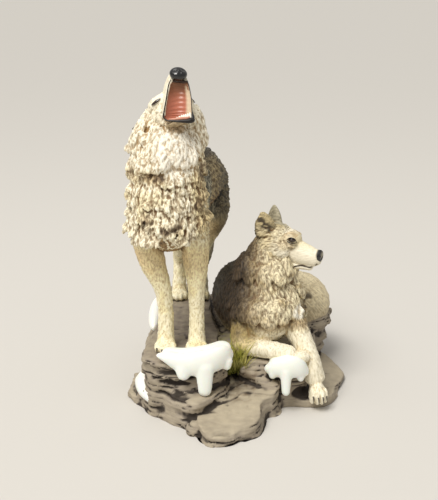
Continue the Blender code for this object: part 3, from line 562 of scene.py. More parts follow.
def carve(obj, flow, layers, seed, along, ridges, wash=1.0, depth=1.1, nap=1.0, hair=1.0):
    """Grows layers of locks and wavy ridges on a skin and keeps its mean size.

    A layer is (spacing, length, half width, lift) and a ridge (mm across, mm along, height), all in mm. Kept
    for the paint: "recess", wide hollows between clumps, full at `depth` mm; "crease", the narrow ones between
    locks, both times the wash's strength; "grain", coordinates in mm whose third one runs along the hair and
    is divided by `hair`, the hair's relative length; and "nap", how strongly single hairs show.
    """
    points, normals = read(obj)
    flow = unit(flow - normals * (flow * normals).sum(axis=1, keepdims=True))
    total, shade = np.zeros(len(points)), np.zeros(len(points))
    for number, layer in enumerate(layers):
        layer = [np.broadcast_to(np.asarray(value, float), len(points)) for value in layer]
        height, hollow = comb(points, normals, flow, *layer, seed + number)
        total += height - 0.62 * layer[3]
        shade = np.maximum(shade, hollow * (0.7, 0.5)[number])
    for number, (across, length, height) in enumerate(ridges):
        crest = curls(hair_frame(points, along), (across, length), seed + 10 * number)
        total += height * (crest - 0.5)
        shade = np.maximum(shade, 0.6 - 1.6 * crest)
    write(obj, points + normals * total[:, None])
    store(obj, "recess", ease(sunken(obj, 60), 0.0, depth) * wash)
    store(obj, "crease", np.clip(0.6 * shade + 0.8 * ease(sunken(obj, 8), -0.02, 0.25), 0, 1) * wash)
    bend = np.stack([noise(points, 5.0, seed + k) for k in (7, 8, 9)], -1)
    grain = hair_frame(points, along) + bend
    grain[:, 2] /= hair
    store(obj, "grain", grain)
    store(obj, "nap", np.broadcast_to(nap, len(points)))


# Paint

def linear(colour):
    """An sRGB hex colour as linear red, green and blue."""
    parts = np.array([int(colour[i : i + 2], 16) for i in (1, 3, 5)]) / 255
    return np.where(parts <= 0.04045, parts / 12.92, ((parts + 0.055) / 1.055) ** 2.4)


def paint(points, base, *coats):
    """Colours for points: a base, and then each (colour, mask) over it."""
    colours = np.tile(linear(base), (len(points), 1))
    for colour, mask in coats:
        colours = over(colours, linear(colour), mask)
    return colours


def node(tree, kind, inputs=None, **settings):
    """Adds a node with its settings, and fills its inputs with values or with links from other sockets."""
    made = tree.nodes.new(kind)
    for key, value in settings.items():
        setattr(made, key, value)
    for key, value in (inputs or {}).items():
        if isinstance(value, bpy.types.NodeSocket):
            tree.links.new(value, made.inputs[key])
        else:
            made.inputs[key].default_value = value
    return made


def new_material(name, roughness, colour="#808080", **sockets):
    material = bpy.data.materials.new(name)
    material.use_nodes = True
    shader = material.node_tree.nodes["Principled BSDF"]
    shader.inputs["Base Color"].default_value = (*linear(colour), 1)
    shader.inputs["Roughness"].default_value = roughness
    for key, value in sockets.items():
        shader.inputs[key.replace("_", " ")].default_value = value
    return material, material.node_tree, shader


def painted_fur(name, tips):
    """Matt acrylic on carved fur, so that each hair reads from a step away.

    The coat colour is streaked along the hairs, a wash lies thin in creases and thick in hollows, and the
    crests are dry-brushed with a paler coat, as strongly as `tips` says.
    """
    material, tree, shader = new_material(name, 0.62, IOR=1.47)
    coat = node(tree, "ShaderNodeAttribute", attribute_name="coat").outputs["Vector"]
    wash = node(tree, "ShaderNodeAttribute", attribute_name="wash").outputs["Vector"]
    recess = node(tree, "ShaderNodeAttribute", attribute_name="recess").outputs["Fac"]
    crease = node(tree, "ShaderNodeAttribute", attribute_name="crease").outputs["Fac"]
    grain = node(tree, "ShaderNodeAttribute", attribute_name="grain").outputs["Vector"]
    place_on = node(tree, "ShaderNodeTexCoord").outputs["Object"]
    # Hairs are about 1 mm apart and run for 5 mm, drawn a little coarser than the casting's finest ones
    stretched = node(tree, "ShaderNodeMapping", {"Vector": grain, "Scale": (0.95, 0.95, 0.2)}).outputs["Vector"]
    hairs = node(tree, "ShaderNodeTexNoise", {"Vector": stretched, "Scale": 1.0, "Detail": 3.0}).outputs["Fac"]
    # The wash pools in patches about 7 mm wide
    blotch = node(tree, "ShaderNodeTexNoise", {"Vector": place_on, "Scale": 150.0, "Detail": 3.0}).outputs[0]
    uneven = node(tree, "ShaderNodeMapRange", {"Value": blotch, "From Min": 0.3, "From Max": 0.7}).outputs[0]
    nap = node(tree, "ShaderNodeAttribute", attribute_name="nap").outputs["Fac"]
    streak = node(
        tree, "ShaderNodeMapRange",
        {"Value": hairs, "From Min": 0.35, "From Max": 0.6, "To Min": -0.36, "To Max": 0.1},
    ).outputs[0]
    streak = node(tree, "ShaderNodeMath", {0: streak, 1: nap, 2: 1.0}, operation="MULTIPLY_ADD").outputs[0]
    coat = node(tree, "ShaderNodeVectorMath", {0: coat, "Scale": streak}, operation="SCALE").outputs[0]
    colour = coat
    # (where it lies, first depth, full depth, strongest)
    washes = ((crease, -0.15, 0.45, 0.6), (recess, -0.1, 0.35, 0.4), (recess, 0.2, 0.8, 0.9))
    for where, start, full, most in washes:
        deep = node(tree, "ShaderNodeMath", {0: hairs, 1: -0.9, 2: where}, operation="MULTIPLY_ADD").outputs[0]
        deep = node(tree, "ShaderNodeMath", {0: uneven, 1: 0.25, 2: deep}, operation="MULTIPLY_ADD").outputs[0]
        share = node(
            tree, "ShaderNodeMapRange", {"Value": deep, "From Min": start, "From Max": full, "To Max": most}
        ).outputs[0]
        colour = node(tree, "ShaderNodeMix", {0: share, 6: colour, 7: wash}, data_type="RGBA").outputs[2]
    lit = node(tree, "ShaderNodeVectorMath", {0: coat, "Scale": 1.6}, operation="SCALE").outputs[0]
    lit = node(tree, "ShaderNodeVectorMath", {0: lit, 1: linear("#fffaea")}, operation="MINIMUM").outputs[0]
    high = node(tree, "ShaderNodeMath", {0: hairs, 1: crease}, operation="SUBTRACT").outputs[0]
    high = node(tree, "ShaderNodeMath", {0: high, 1: recess}, operation="SUBTRACT").outputs[0]
    brushed = node(
        tree, "ShaderNodeMapRange", {"Value": high, "From Min": 0.15, "From Max": 0.55, "To Max": tips}
    ).outputs[0]
    colour = node(tree, "ShaderNodeMix", {0: brushed, 6: colour, 7: lit}, data_type="RGBA").outputs[2]
    tree.links.new(colour, shader.inputs["Base Color"])
    bump = node(tree, "ShaderNodeBump", {"Height": hairs, "Strength": 0.6, "Distance": 0.0006})
    tree.links.new(bump.outputs[0], shader.inputs["Normal"])
    return material


def painted_rock():
    """Matt paint on cast rock: grey-tan body, dark wash in the cracks, pale dry-brushed ledges, fine grit."""
    material, tree, shader = new_material("matt_painted_rock", 0.78, IOR=1.47)
    coat = node(tree, "ShaderNodeAttribute", attribute_name="coat").outputs["Vector"]
    recess = node(tree, "ShaderNodeAttribute", attribute_name="recess").outputs["Fac"]
    place_on = node(tree, "ShaderNodeTexCoord").outputs["Object"]
    # Brush marks run level, about 1 mm high and 6 mm long
    level = node(tree, "ShaderNodeMapping", {"Vector": place_on, "Scale": (160, 160, 900)}).outputs["Vector"]
    marks = node(tree, "ShaderNodeTexNoise", {"Vector": level, "Scale": 1.0, "Detail": 4.0}).outputs["Fac"]
    grit = node(tree, "ShaderNodeTexNoise", {"Vector": place_on, "Scale": 900.0, "Detail": 3.0}).outputs["Fac"]
    depth = node(tree, "ShaderNodeMath", {0: marks, 1: 0.45, 2: recess}, operation="MULTIPLY_ADD").outputs[0]
    washed = node(
        tree, "ShaderNodeMapRange", {"Value": depth, "From Min": 0.35, "From Max": 0.85, "To Max": 0.95}
    ).outputs[0]
    high = node(tree, "ShaderNodeMath", {0: marks, 1: recess}, operation="SUBTRACT").outputs[0]
    brushed = node(
        tree, "ShaderNodeMapRange", {"Value": high, "From Min": 0.25, "From Max": 0.7, "To Max": 0.5}
    ).outputs[0]
    wash, ledge = ((*linear(colour), 1) for colour in ("#2f2720", "#c2b69c"))
    dark = node(tree, "ShaderNodeMix", {0: washed, 6: coat, 7: wash}, data_type="RGBA").outputs[2]
    pale = node(tree, "ShaderNodeMix", {0: brushed, 6: dark, 7: ledge}, data_type="RGBA").outputs[2]
    tree.links.new(pale, shader.inputs["Base Color"])
    bump = node(tree, "ShaderNodeBump", {"Height": grit, "Strength": 0.35, "Distance": 0.0004})
    tree.links.new(bump.outputs[0], shader.inputs["Normal"])
    return material


# The howling wolf

HOWLER = place(HOWLER_AT)
HOWLER_HEAD = place(HOWLER_AT + (-3.2, 8, CROWN), HEAD_UP, HEAD_TURN)
# The lower jaw swings about a hinge behind the corner of the mouth
JAW = HOWLER_HEAD @ place((-1, 0, -6), -JAW_OPEN, 90 + JAW_SWING)
RESTER = place(RESTER_AT)
RESTER_HEAD = place(RESTER_AT + (12.5, 5, REST_CROWN), REST_HEAD_UP, REST_HEAD_TURN)


def howler_legs():
    """The forelegs from the shoulders and the hind legs from the hips, down to the toes."""
    made = []
    for side, forefoot in zip((-1, 1), FOREFEET):
        foot = forefoot[0][0]
        shoulder = -6 + side * 0.62 * CHEST_WIDE
        rows = [
            (shoulder, 8, CHEST + 4, 0.34 * CHEST_WIDE, 0.52 * CHEST_DEEP),
            (shoulder, 7, CHEST - 18, 0.36 * CHEST_WIDE, 0.44 * CHEST_DEEP),
            (0.35 * foot + 0.65 * shoulder, 5, 0.62 * CHEST, 1.65 * LEG, 1.75 * LEG),
            (0.85 * foot + 0.15 * shoulder, 2, 0.44 * CHEST, 1.12 * LEG, 1.20 * LEG),
            (foot, 2, 0.28 * CHEST, LEG, 1.06 * LEG),
            (foot, 1, 0.13 * CHEST, 1.02 * LEG, 1.10 * LEG),
            (foot, 0, 0.05 * CHEST, 1.16 * LEG, 1.30 * LEG),
        ]
        made += [tube(HOWLER, rows), *paw(HOWLER, *forefoot)]
    for side, foot in ((-1, -4.5), (1, 12.5)):
        hip = -6 + TURN + side * 0.52 * RUMP
        rise = BLOCK_RISE * BACK
        rows = [
            (hip, 0.96 * BACK, CHEST - 4, 0.46 * RUMP, 0.80 * RUMP),
            (hip, 0.90 * BACK, CHEST - 22, 0.42 * RUMP, 0.66 * RUMP),
            (0.3 * hip + 0.7 * foot, 0.94 * BACK, CHEST - 40, 1.40 * LEG, 1.80 * LEG),
            (foot, 1.13 * BACK, 0.36 * CHEST, 0.92 * LEG, 1.15 * LEG),
            (foot, 1.12 * BACK, 0.22 * CHEST, 0.90 * LEG, 1.00 * LEG),
            (foot, 1.09 * BACK, rise + 4, 1.10 * LEG, 1.20 * LEG),
        ]
        heel = (foot, 1.10 * BACK, rise - 1.5)
        made += [tube(HOWLER, rows), *paw(HOWLER, heel, 0.92 * PAW_WIDE, PAW_HIGH, 16)]
    return made


def howler_trunk():
    """The trunk from the chest to the rump, and the hanging tail."""
    trunk = [
        (-7, -8, CHEST - 5, 0.68 * CHEST_WIDE, 0.68 * CHEST_DEEP),
        (-7, 6, CHEST - 2, 0.96 * CHEST_WIDE, 0.96 * CHEST_DEEP),
        (-4, 0.30 * BACK, CHEST + 10, 0.96 * CHEST_WIDE, 1.08 * CHEST_DEEP),
        (-6 + 0.5 * TURN, 0.58 * BACK, CHEST + 12, 0.93 * CHEST_WIDE, 0.92 * CHEST_DEEP),
        (-6 + 0.8 * TURN, 0.83 * BACK, CHEST + 7, 1.02 * RUMP, 0.98 * RUMP),
        (-6 + 1.0 * TURN, 1.02 * BACK, CHEST, 0.95 * RUMP, 0.92 * RUMP),
        (-6 + 1.1 * TURN, 1.16 * BACK, CHEST - 7, 0.66 * RUMP, 0.66 * RUMP),
    ]
    tail = [
        (-5 + TURN, 1.14 * BACK, CHEST + 4, 0.75 * TAIL_THICK, 0.75 * TAIL_THICK),
        (-5 + TURN, 1.25 * BACK, CHEST - 0.12 * TAIL, 0.90 * TAIL_THICK, 0.90 * TAIL_THICK),
        (-4 + TURN, 1.28 * BACK, CHEST - 0.45 * TAIL, 1.10 * TAIL_THICK, 1.05 * TAIL_THICK),
        (-3 + TURN, 1.25 * BACK, CHEST - 0.78 * TAIL, 0.85 * TAIL_THICK, 0.80 * TAIL_THICK),
        (-2 + TURN, 1.23 * BACK, CHEST - 0.96 * TAIL, 0.25 * TAIL_THICK, 0.25 * TAIL_THICK),
    ]
    return [tube(HOWLER, trunk, sides=28), tube(HOWLER, tail)]


def ruff_places():
    """Where each clump of the ruff sits: the way it faces, its root, its length and its half width."""
    low, high = CHEST - 4, CROWN - 8
    places = []
    for aside, height, length, half_width in CLUMPS:
        share = min(max((height - low) / (high - low), 0), 1)
        half_x = (1 - share) * 0.90 * CHEST_WIDE + share * 0.94 * NECK
        half_y = (1 - share) * 0.90 * CHEST_DEEP + share * 0.93 * NECK
        lean = min(max(aside / half_x, -0.96), 0.96)
        front = -math.sqrt(1 - lean * lean)
        out = unit(np.array([lean / half_x, front / half_y, 0]))
        root = np.array([lean * half_x - 8, front * half_y + 5 + 5 * share, height]) - out
        places.append((out, root, length, half_width))
    return places


def ruff_clumps():
    """The clumps that hang in tiers over the front of the ruff."""
    return [
        lock(HOWLER, root, out, np.array([0, 0, -1]) + out * 0.12, length, half_width, LOCK_LIFT)
        for out, root, length, half_width in ruff_places()
    ]


def ruff_tufts():
    """Frayed tufts over the ruff: one on the lower half of each clump, and staggered rows between them."""
    rng = np.random.default_rng(31)
    made = []
    for out, root, length, half_width in ruff_places():
        if abs(out[0]) > 0.85:
            continue
        down = np.array([0, 0, -1]) + out * 0.12
        ahead = -1.8 * out[1]
        start = root + 0.38 * length * down + ahead * out
        made += fan(HOWLER, start, out, down, 0.66 * length, 1.2 * half_width, 0.8 + ahead, rng)
    low, high = CHEST - 4, CROWN - 8
    for row, height in enumerate(np.arange(low, high, 6.0)):
        share = (height - low) / (high - low)
        chest, neck = np.array([0.88 * CHEST_WIDE, 0.88 * CHEST_DEEP]), np.array([0.86, 0.88]) * NECK
        half = (1 - share) * chest + share * neck
        for angle in np.arange(204 + 8 * (row % 2), 344, 16):
            a = math.radians(angle + rng.uniform(-5, 5))
            out = unit(np.array([math.cos(a) / half[0], math.sin(a) / half[1], 0]))
            x, y = half[0] * math.cos(a) - 8, half[1] * math.sin(a) + 5 + 5 * share
            root = np.array([x, y, height + rng.uniform(-3, 3)])
            down = np.array([rng.uniform(-0.3, 0.3) + 0.2 * out[0], 0, -1]) + out * 0.2
            length, half_width = rng.uniform(7, 10), rng.uniform(4.6, 6.2)
            made += fan(HOWLER, root - 0.8 * out, out, down, length, half_width, 2.8, rng)
    return made


def howler_ruff():
    """The neck, the chest, the clumps in front and the locks round the sides and back of the neck."""
    neck = [
        (-7, 14, CHEST - 4, 1.06 * NECK, 1.06 * NECK),
        (-7, 11, CHEST + 14, 1.06 * NECK, 1.06 * NECK),
        (-7.5, 10, CROWN - 31, 0.98 * NECK, 0.98 * NECK),
        (-7.5, 10, CROWN - 16, 0.94 * NECK, 0.88 * NECK),
        (-7, 10, CROWN - 5, 0.78 * NECK, 0.70 * NECK),
    ]
    chest = [
        (-7, -8, CHEST - 5, 0.68 * CHEST_WIDE, 0.68 * CHEST_DEEP),
        (-7, 6, CHEST - 2, 0.97 * CHEST_WIDE, 0.97 * CHEST_DEEP),
        (-5, 16, CHEST + 6, 0.93 * CHEST_WIDE, 0.98 * CHEST_DEEP),
    ]
    oval = (-8, 10)
    wide, deep = CHEST_WIDE, CHEST_DEEP
    side_roots = ((11.5, 158), (13.5, 150))
    return [
        tube(HOWLER, neck, sides=28),
        tube(HOWLER, chest, sides=28),
        *ruff_clumps(),
        *ruff_tufts(),
        *(lock(HOWLER, (x, 6, z), (0.9, -0.4, 0), (0.1, 0, -1), 14, 6.0, 2.5) for x, z in side_roots),
        *lock_row(HOWLER, oval, (0.90 * NECK, 0.90 * NECK), CROWN - 17, range(-20, 201, 22), LOCK, 3),
        *lock_row(HOWLER, oval, (0.92 * NECK, 0.98 * NECK), CROWN - 30, range(-10, 191, 20), 1.1 * LOCK, 4),
        *lock_row(HOWLER, (-8, 8), (0.86 * wide, 0.92 * deep), CHEST + 19, (-12, 10, 170, 192), 1.1 * LOCK, 5),
        *lock_row(HOWLER, (-8, 6), (0.84 * wide, 0.88 * deep), CHEST + 5, (172, 194), LOCK, 6),
    ]


def skull(where):
    """Cranium, cheeks, forehead, brows and eyelids in the head's frame: +X to the nose, +Z to the crown."""
    made = [
        ball(where, (-4, 0, 1), (1.12 * SKULL, SKULL, 0.88 * SKULL)),
        ball(where, (5, 0, 3.2), (0.75 * SKULL, 0.74 * SKULL, 0.52 * SKULL)),
    ]
    for side in (-1, 1):
        made += [
            ball(where, (-3, side * 0.70 * SKULL, -4.5), (SKULL, 0.62 * SKULL, 0.72 * SKULL)),
            ball(where, (7.6, side * 0.50 * SKULL, 5.4), (4.4, 2.8, 1.8)),
            ball(where, (8.4, side * 0.50 * SKULL, 0.2), (4.2, 3.0, 1.6)),
        ]
    return made


def howler_head():
    """The head thrown back: skull, upper jaw, skin at the mouth's corners, lower jaw and laid-back ears."""
    wide = MUZZLE_WIDE
    upper = [
        (0.10, 2.6, 1.30, 6.2), (0.38, 2.4, 1.06, 4.2), (0.62, 2.0, 0.98, 3.4), (0.84, 1.2, 0.82, 3.0),
        (0.95, 0.6, 0.60, 2.8),
    ]
    lower = [(-6, -2.5, 1.16, 4.6), (4, -2.0, 1.22, 3.8), (12.6, -1.8, 1.14, 2.8), (18, -1.4, 0.96, 2.2)]
    made = skull(HOWLER_HEAD)
    made += [
        tube(HOWLER_HEAD, [(MUZZLE * x, 0, z, w * wide, d) for x, z, w, d in upper], across=(0, 1, 0)),
        ball(HOWLER_HEAD, (3.5, -1.5, 0.5), (10.5, 1.24 * SKULL, 8.5)),
        ball(HOWLER_HEAD, (MUZZLE - 0.6, 0, 1.0), (2.6, NOSE_WIDE - 0.5, 2.9)),
        tube(JAW, [(x, 0, z, w * wide, d) for x, z, w, d in lower], across=(0, 1, 0)),
        *(web(HOWLER_HEAD, gum, lip, 1.2) for gum, lip in MOUTH_CORNERS),
    ]
    for side in (-1, 1):
        base, lean = (-9, side * 1.05 * SKULL, 2), (-0.64, side * 0.43, 0.63)
        made.append(ear(HOWLER_HEAD, base, lean, 1.45 * EAR, EAR_WIDE, (0.25, 1, 0)))
    return made


# The resting wolf

def rester_body():
    """The curled body, the haunch with its foot, the neck, the forelegs and the tail."""
    body = [
        (3, -16, 0.52 * REST_BACK, 0.80 * REST_WIDE, 0.36 * REST_BACK),
        (0, -2, 0.50 * REST_BACK, 1.02 * REST_WIDE, 0.49 * REST_BACK),
        (-10, 0.26 * REST_LENGTH, 0.50 * REST_BACK, 1.05 * REST_WIDE, 0.54 * REST_BACK),
        (-12.5, 0.55 * REST_LENGTH, 0.44 * REST_BACK, 1.02 * REST_WIDE, 0.48 * REST_BACK),
        (-3, 0.84 * REST_LENGTH, 0.38 * REST_BACK, 0.95 * REST_WIDE, 0.42 * REST_BACK),
        (10, 0.96 * REST_LENGTH, 0.34 * REST_BACK, 0.82 * REST_WIDE, 0.36 * REST_BACK),
        (24, 0.94 * REST_LENGTH, 0.30 * REST_BACK, 0.60 * REST_WIDE, 0.28 * REST_BACK),
    ]
    neck = [
        (1, 2, 0.46 * REST_CROWN, 1.22 * REST_NECK, 1.28 * REST_NECK),
        (2, 4, 0.64 * REST_CROWN, 1.10 * REST_NECK, 1.16 * REST_NECK),
        (4, 6, 0.82 * REST_CROWN, 0.96 * REST_NECK, 1.00 * REST_NECK),
        (8, 7, 0.96 * REST_CROWN, 0.76 * REST_NECK, 0.84 * REST_NECK),
    ]
    folded = [
        (-16, -20, 7.5, 1, 1), (-4, -25, 7.5, 1.02, 1), (8, -29, 7.0, 0.96, 0.95), (18, -31, 5.5, 0.90, 0.85),
    ]
    hanging = [
        (16, -6, 27, 1.45, 1.60), (21, -13, 19, 1.40, 1.45), (27, -20, 9, 1.16, 1.15),
        (32, -26, -2, 1.06, 1.00), (35, -28, -14, 1.12, 0.92),
    ]
    tail = [
        (18, 1.08 * REST_LENGTH, 0.26 * REST_BACK, REST_TAIL, REST_TAIL),
        (34, 1.08 * REST_LENGTH, 0.20 * REST_BACK, REST_TAIL, 0.9 * REST_TAIL),
        (46, 0.98 * REST_LENGTH, 0.14 * REST_BACK, 0.95 * REST_TAIL, 0.8 * REST_TAIL),
        (51, 0.82 * REST_LENGTH, 0.12 * REST_BACK, 0.5 * REST_TAIL, 0.5 * REST_TAIL),
    ]
    haunch = (0.5 * REST_HAUNCH, 0.70 * REST_LENGTH, 0.22 * REST_BACK)
    oval = (2, 4)
    upper_ring, lower_ring = (1.10 * REST_NECK, 1.12 * REST_NECK), (1.22 * REST_NECK, 1.26 * REST_NECK)
    chest_ring = (1.02 * REST_WIDE, 1.04 * REST_WIDE)
    upper_arm = [(-12, -8, 26, 9, 10), (-15, -15, 14, 8, 8), (-16, -19, 8, REST_LEG, REST_LEG)]
    return [
        tube(RESTER, body, across=(1, 0.25, 0), sides=28),
        tube(RESTER, neck, sides=28),
        ball(RESTER, haunch, (0.5 * REST_HAUNCH, 0.30 * REST_LENGTH, 0.46 * REST_BACK)),
        *paw(RESTER, (0.52 * REST_HAUNCH, 0.48 * REST_LENGTH, 0.20 * REST_BACK), REST_PAW, 11, 15),
        tube(RESTER, upper_arm, across=(0, 1, 0)),
        tube(RESTER, [(x, y, z, w * REST_LEG, d * REST_LEG) for x, y, z, w, d in folded], across=(0, 1, 0)),
        ball(RESTER, (23, -31.5, 3.5), (8, 6.5, 4.5)),
        tube(RESTER, [(x, y, z, w * REST_LEG, d * REST_LEG) for x, y, z, w, d in hanging]),
        *paw(RESTER, *HANGING_FOOT),
        tube(RESTER, tail, across=(0, 0, 1)),
        *lock_row(RESTER, oval, upper_ring, 0.80 * REST_CROWN, range(150, 400, 28), 0.9 * LOCK, 13),
        *lock_row(RESTER, oval, lower_ring, 0.62 * REST_CROWN, range(150, 395, 24), LOCK, 14),
        *lock_row(RESTER, (1, -4), chest_ring, 0.66 * REST_BACK, range(180, 350, 24), 0.8 * LOCK, 15),
        lock(RESTER, (15, -14, 33.5), (0.3, -1, 0.2), (1, 0.1, -0.3), 1.1 * LOCK, 0.5 * LOCK_WIDE, 1),
    ]


def rester_head():
    """The level head with the mouth shut and both ears pricked."""
    wide = 0.86 * MUZZLE_WIDE
    muzzle = [
        (0.10, -3.4, 1.30, 10.0), (0.34, -4.8, 1.08, 9.2), (0.58, -5.9, 0.94, 8.2), (0.80, -6.2, 0.80, 6.9),
        (0.92, -5.6, 0.62, 5.6),
    ]
    lower_jaw = [(0, 0, -12.0, 6.6, 3.6), (10, 0, -14.2, 5.4, 3.0), (0.78 * MUZZLE, 0, -13.4, 4.0, 2.6)]
    made = skull(RESTER_HEAD)
    made += [
        tube(RESTER_HEAD, [(MUZZLE * x, 0, z, w * wide, d) for x, z, w, d in muzzle], across=(0, 1, 0)),
        ball(RESTER_HEAD, (0.95 * MUZZLE, 0, -3.2), (2.6, 0.76 * NOSE_WIDE, 3.2)),
        tube(RESTER_HEAD, lower_jaw, across=(0, 1, 0)),
    ]
    for side in (-1, 1):
        base, lean = (-9.5, side * 0.72 * SKULL, 8.0), (-0.25, side * 0.2, 1)
        made.append(ear(RESTER_HEAD, base, lean, EAR, 1.25 * EAR_WIDE, (0.85, -0.5 * side, 0)))
    return made


# The base

def rocks():
    """A tall block under the howler, a ledge under the resting wolf, and lower layered lobes round them."""
    return [
        slab(BLOCK_OUTLINE, BLOCK_HEIGHT, 21, foot=0.93, slope=(0, BLOCK_RISE)),
        slab(SKIRT_OUTLINE, SKIRT_HEIGHT, 22),
        slab(LEFT_STONE_OUTLINE, LEFT_STONE_HEIGHT, 23),
        slab(LOBE_OUTLINE, LOBE_HEIGHT, 24, slope=(0, LOBE_SLOPE)),
        slab(LEDGE_OUTLINE, LEDGE_HEIGHT, 27, foot=0.95),
        slab(SADDLE_OUTLINE, SADDLE_HEIGHT, 26),
        slab(RIGHT_LOBE_OUTLINE, RIGHT_LOBE_HEIGHT, 28, slope=(-RIGHT_LOBE_SLOPE, 0)),
        slab(HAUNCH_ROCK_OUTLINE, HAUNCH_ROCK_HEIGHT, 29, foot=0.62),
        tube(np.eye(4), [(-14, -50, 15, 5, 5), (-19, -60, 10, 5, 5), (-25, -70, 3, 5, 5)]),
        tube(np.eye(4), [(4, -33, 26, 4, 5), (14, -36, 22, 4, 5), (27, -40, 15, 5, 6)]),
        ball(np.eye(4), (-27, -75, 2), (7, 7, 6)),
    ]


def strata(points, normals):
    """Rock beds: each has its own reach and is rounded to a dark undercut; they wander in height and chip.

    Returns the move along the normal, in mm, and how deep in a crack each point is, from 0 to 1.
    """
    rng = np.random.default_rng(40)
    edges = np.cumsum(np.concatenate([[-12], rng.choice([1.4, 2.6, 4.0, 6.5], 40, p=[0.25, 0.3, 0.25, 0.2])]))
    reach = rng.uniform(-0.9, 0.6, len(edges) + 1)
    z = points[:, 2] + 3.4 * noise(points, 34, 41) + 1.0 * noise(points, 9, 42)
    bed = np.searchsorted(edges, z)
    low, high = edges[np.clip(bed - 1, 0, len(edges) - 1)], edges[np.clip(bed, 0, len(edges) - 1)]
    share = np.clip((z - low) / np.maximum(high - low, 0.1), 0, 1)
    crack = ease(share, 0.22, 0.0) + ease(share, 0.94, 1.0) * 0.6
    broken = ease(noise(points, 11, 43), -0.5, 0.3)
    chips = np.abs(noise(points, 7, 44)) * 0.9 + np.abs(noise(points, 2.6, 45)) * 0.35
    steep = ease(np.abs(normals[:, 2]), 0.95, 0.6)
    move = (reach[bed] - 1.8 * crack * broken) * steep - 0.4 * crack * (1 - steep) + 0.4 - chips
    # Hollows seen from the front: the middle and the three radii of each
    caves = [
        ((-50, -60, 28.5), (8, 12, 1.0)), ((-42, -62, 26), (12, 12, 1.7)), ((-32, -60, 31), (5, 12, 2.4)),
        ((-43, -62, 19), (12, 12, 1.6)), ((-12.5, -56, 12), (7, 5, 2.2)), ((46, -40, 10), (7, 12, 4.5)),
        ((33, -42, 21), (4, 10, 2)),
    ]
    hollow = np.clip(sum(spot(points + 0.8 * noise(points, 4, 46)[:, None], *cave) for cave in caves), 0, 1)
    depth = np.clip(crack * broken * (0.35 + 0.65 * steep) + 0.35 * np.clip(chips - 0.5, 0, 1), 0, 1)
    return move - 2.6 * hollow, np.maximum(depth, hollow)


def snow():
    """Snow on the rock edges: a roll along each edge, the drips that hang from it and the heaps on the left."""
    still, half = np.eye(4), 0.5 * SNOW_THICK
    low_heap = [
        (-65, -18, 12, 5, 6), (-63, -28, 13, 7, 6.5), (-61, -37, 13, 6, 6), (-56.5, -46, 11.5, 4.5, 4.5),
    ]
    made = [
        ball(still, (-63, -22, 12), (7, 10, 8.6)),
        tube(still, low_heap, across=(0, 0, 1)),
        ball(still, (-58.5, 36, 42.5), (5.6, 33, 7)),
    ]
    for roll in (BLOCK_SNOW, LEDGE_SNOW):
        rows = [
            (x, y, 0.5 * (low + high), 0.5 * (high - low), min(half, high - low)) for x, y, low, high in roll
        ]
        made.append(tube(still, rows, across=(0, 0, 1), dome=0.9))
        rows = [(x, y + SNOW_THICK, high - half, SNOW_THICK, half) for x, y, low, high in roll[1:-1]]
        made.append(tube(still, rows, across=(0, 1, 0), dome=0.9))
    for x, y, start, reach, half_width in SNOW_DRIPS:
        foot = (x, y - 1, reach + 0.6 * half_width, 0.7 * half_width, 0.8 * half)
        made.append(tube(still, [(x, y, start, half_width, half), foot], dome=0.9))
    return made


def grass():
    """A tuft of bent, pointed blades.

    A blade's middle at share s is foot + s way + s^2 droop, and its width falls as 1 - 0.85 s.
    """
    rng = np.random.default_rng(50)
    count, steps, sides = 230, 6, 4
    foot = np.stack([rng.uniform(-6, 6, count), rng.uniform(-36, -27, count), rng.uniform(23, 34, count)], -1)
    reach = rng.uniform(9, 21, count)
    way = [rng.normal(0.05, 0.28, count) + 0.03 * foot[:, 0], rng.normal(-0.05, 0.15, count), np.ones(count)]
    droop = [rng.normal(0, 0.18, count), rng.normal(-0.08, 0.1, count), np.full(count, -0.12)]
    way, droop = (np.stack(parts, -1) * reach[:, None] for parts in (way, droop))
    share = np.linspace(0, 1, steps)[:, None]
    made = []
    for blade in range(count):
        centre = foot[blade] + share * way[blade] + share**2 * droop[blade]
        turn = rng.uniform(0, math.pi)
        wide = np.array([math.cos(turn), math.sin(turn), 0])
        thick = np.array([-math.sin(turn), math.cos(turn), 0])
        size = 0.75 * (1 - 0.85 * share)
        angles = np.arange(sides) * math.tau / sides
        rings = centre[:, None] + (size * np.cos(angles))[..., None] * wide
        rings = rings + (0.35 * size * np.sin(angles))[..., None] * thick
        made.append(close_rings(rings))
    return made


# Everything put together

pieces = []


def finish_piece(obj, material):
    obj.data.materials.clear()
    obj.data.materials.append(material)
    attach(obj, "root")
    pieces.append(obj)
    return obj


# Fur: the cream coat takes the strongest dry brush on its crests, so its locks look frayed and lit; the short
# fur of the faces takes the weakest and stays smooth; the grizzled coat lies between, so its back stays dark
cream_fur = painted_fur("painted_resin_cream_fur", 0.75)
short_fur = painted_fur("painted_resin_short_fur", 0.3)
grey_fur = painted_fur("painted_resin_grizzled_fur", 0.5)
rock_paint = painted_rock()
# Snow: thick warm white that lets a little light in, so its shaded side stays soft
snow_paint = new_material("matt_white_snow_paint", 0.55, "#fbf9f0", Subsurface_Weight=0.15)[0]
# Noses: wet black with one sharp highlight; lips: a duller black; eyes: deep brown under gloss
black_gloss = new_material("gloss_black_nose_paint", 0.22, "#101012", Coat_Weight=0.6, Coat_Roughness=0.12)[0]
lip_paint = new_material("satin_black_lip_paint", 0.38, "#17120f")[0]
eye_paint = new_material("gloss_dark_brown_eye_paint", 0.15, "#2a170c", Coat_Weight=0.8, Coat_Roughness=0.08)[0]
# Claws: dull horn brown that ends each toe; teeth: warm ivory that catches the light in the mouth
claw_paint = new_material("satin_dark_claw_paint", 0.4, "#4a4034")[0]
tooth_paint = new_material("satin_ivory_tooth_paint", 0.35, "#f6f1e2")[0]

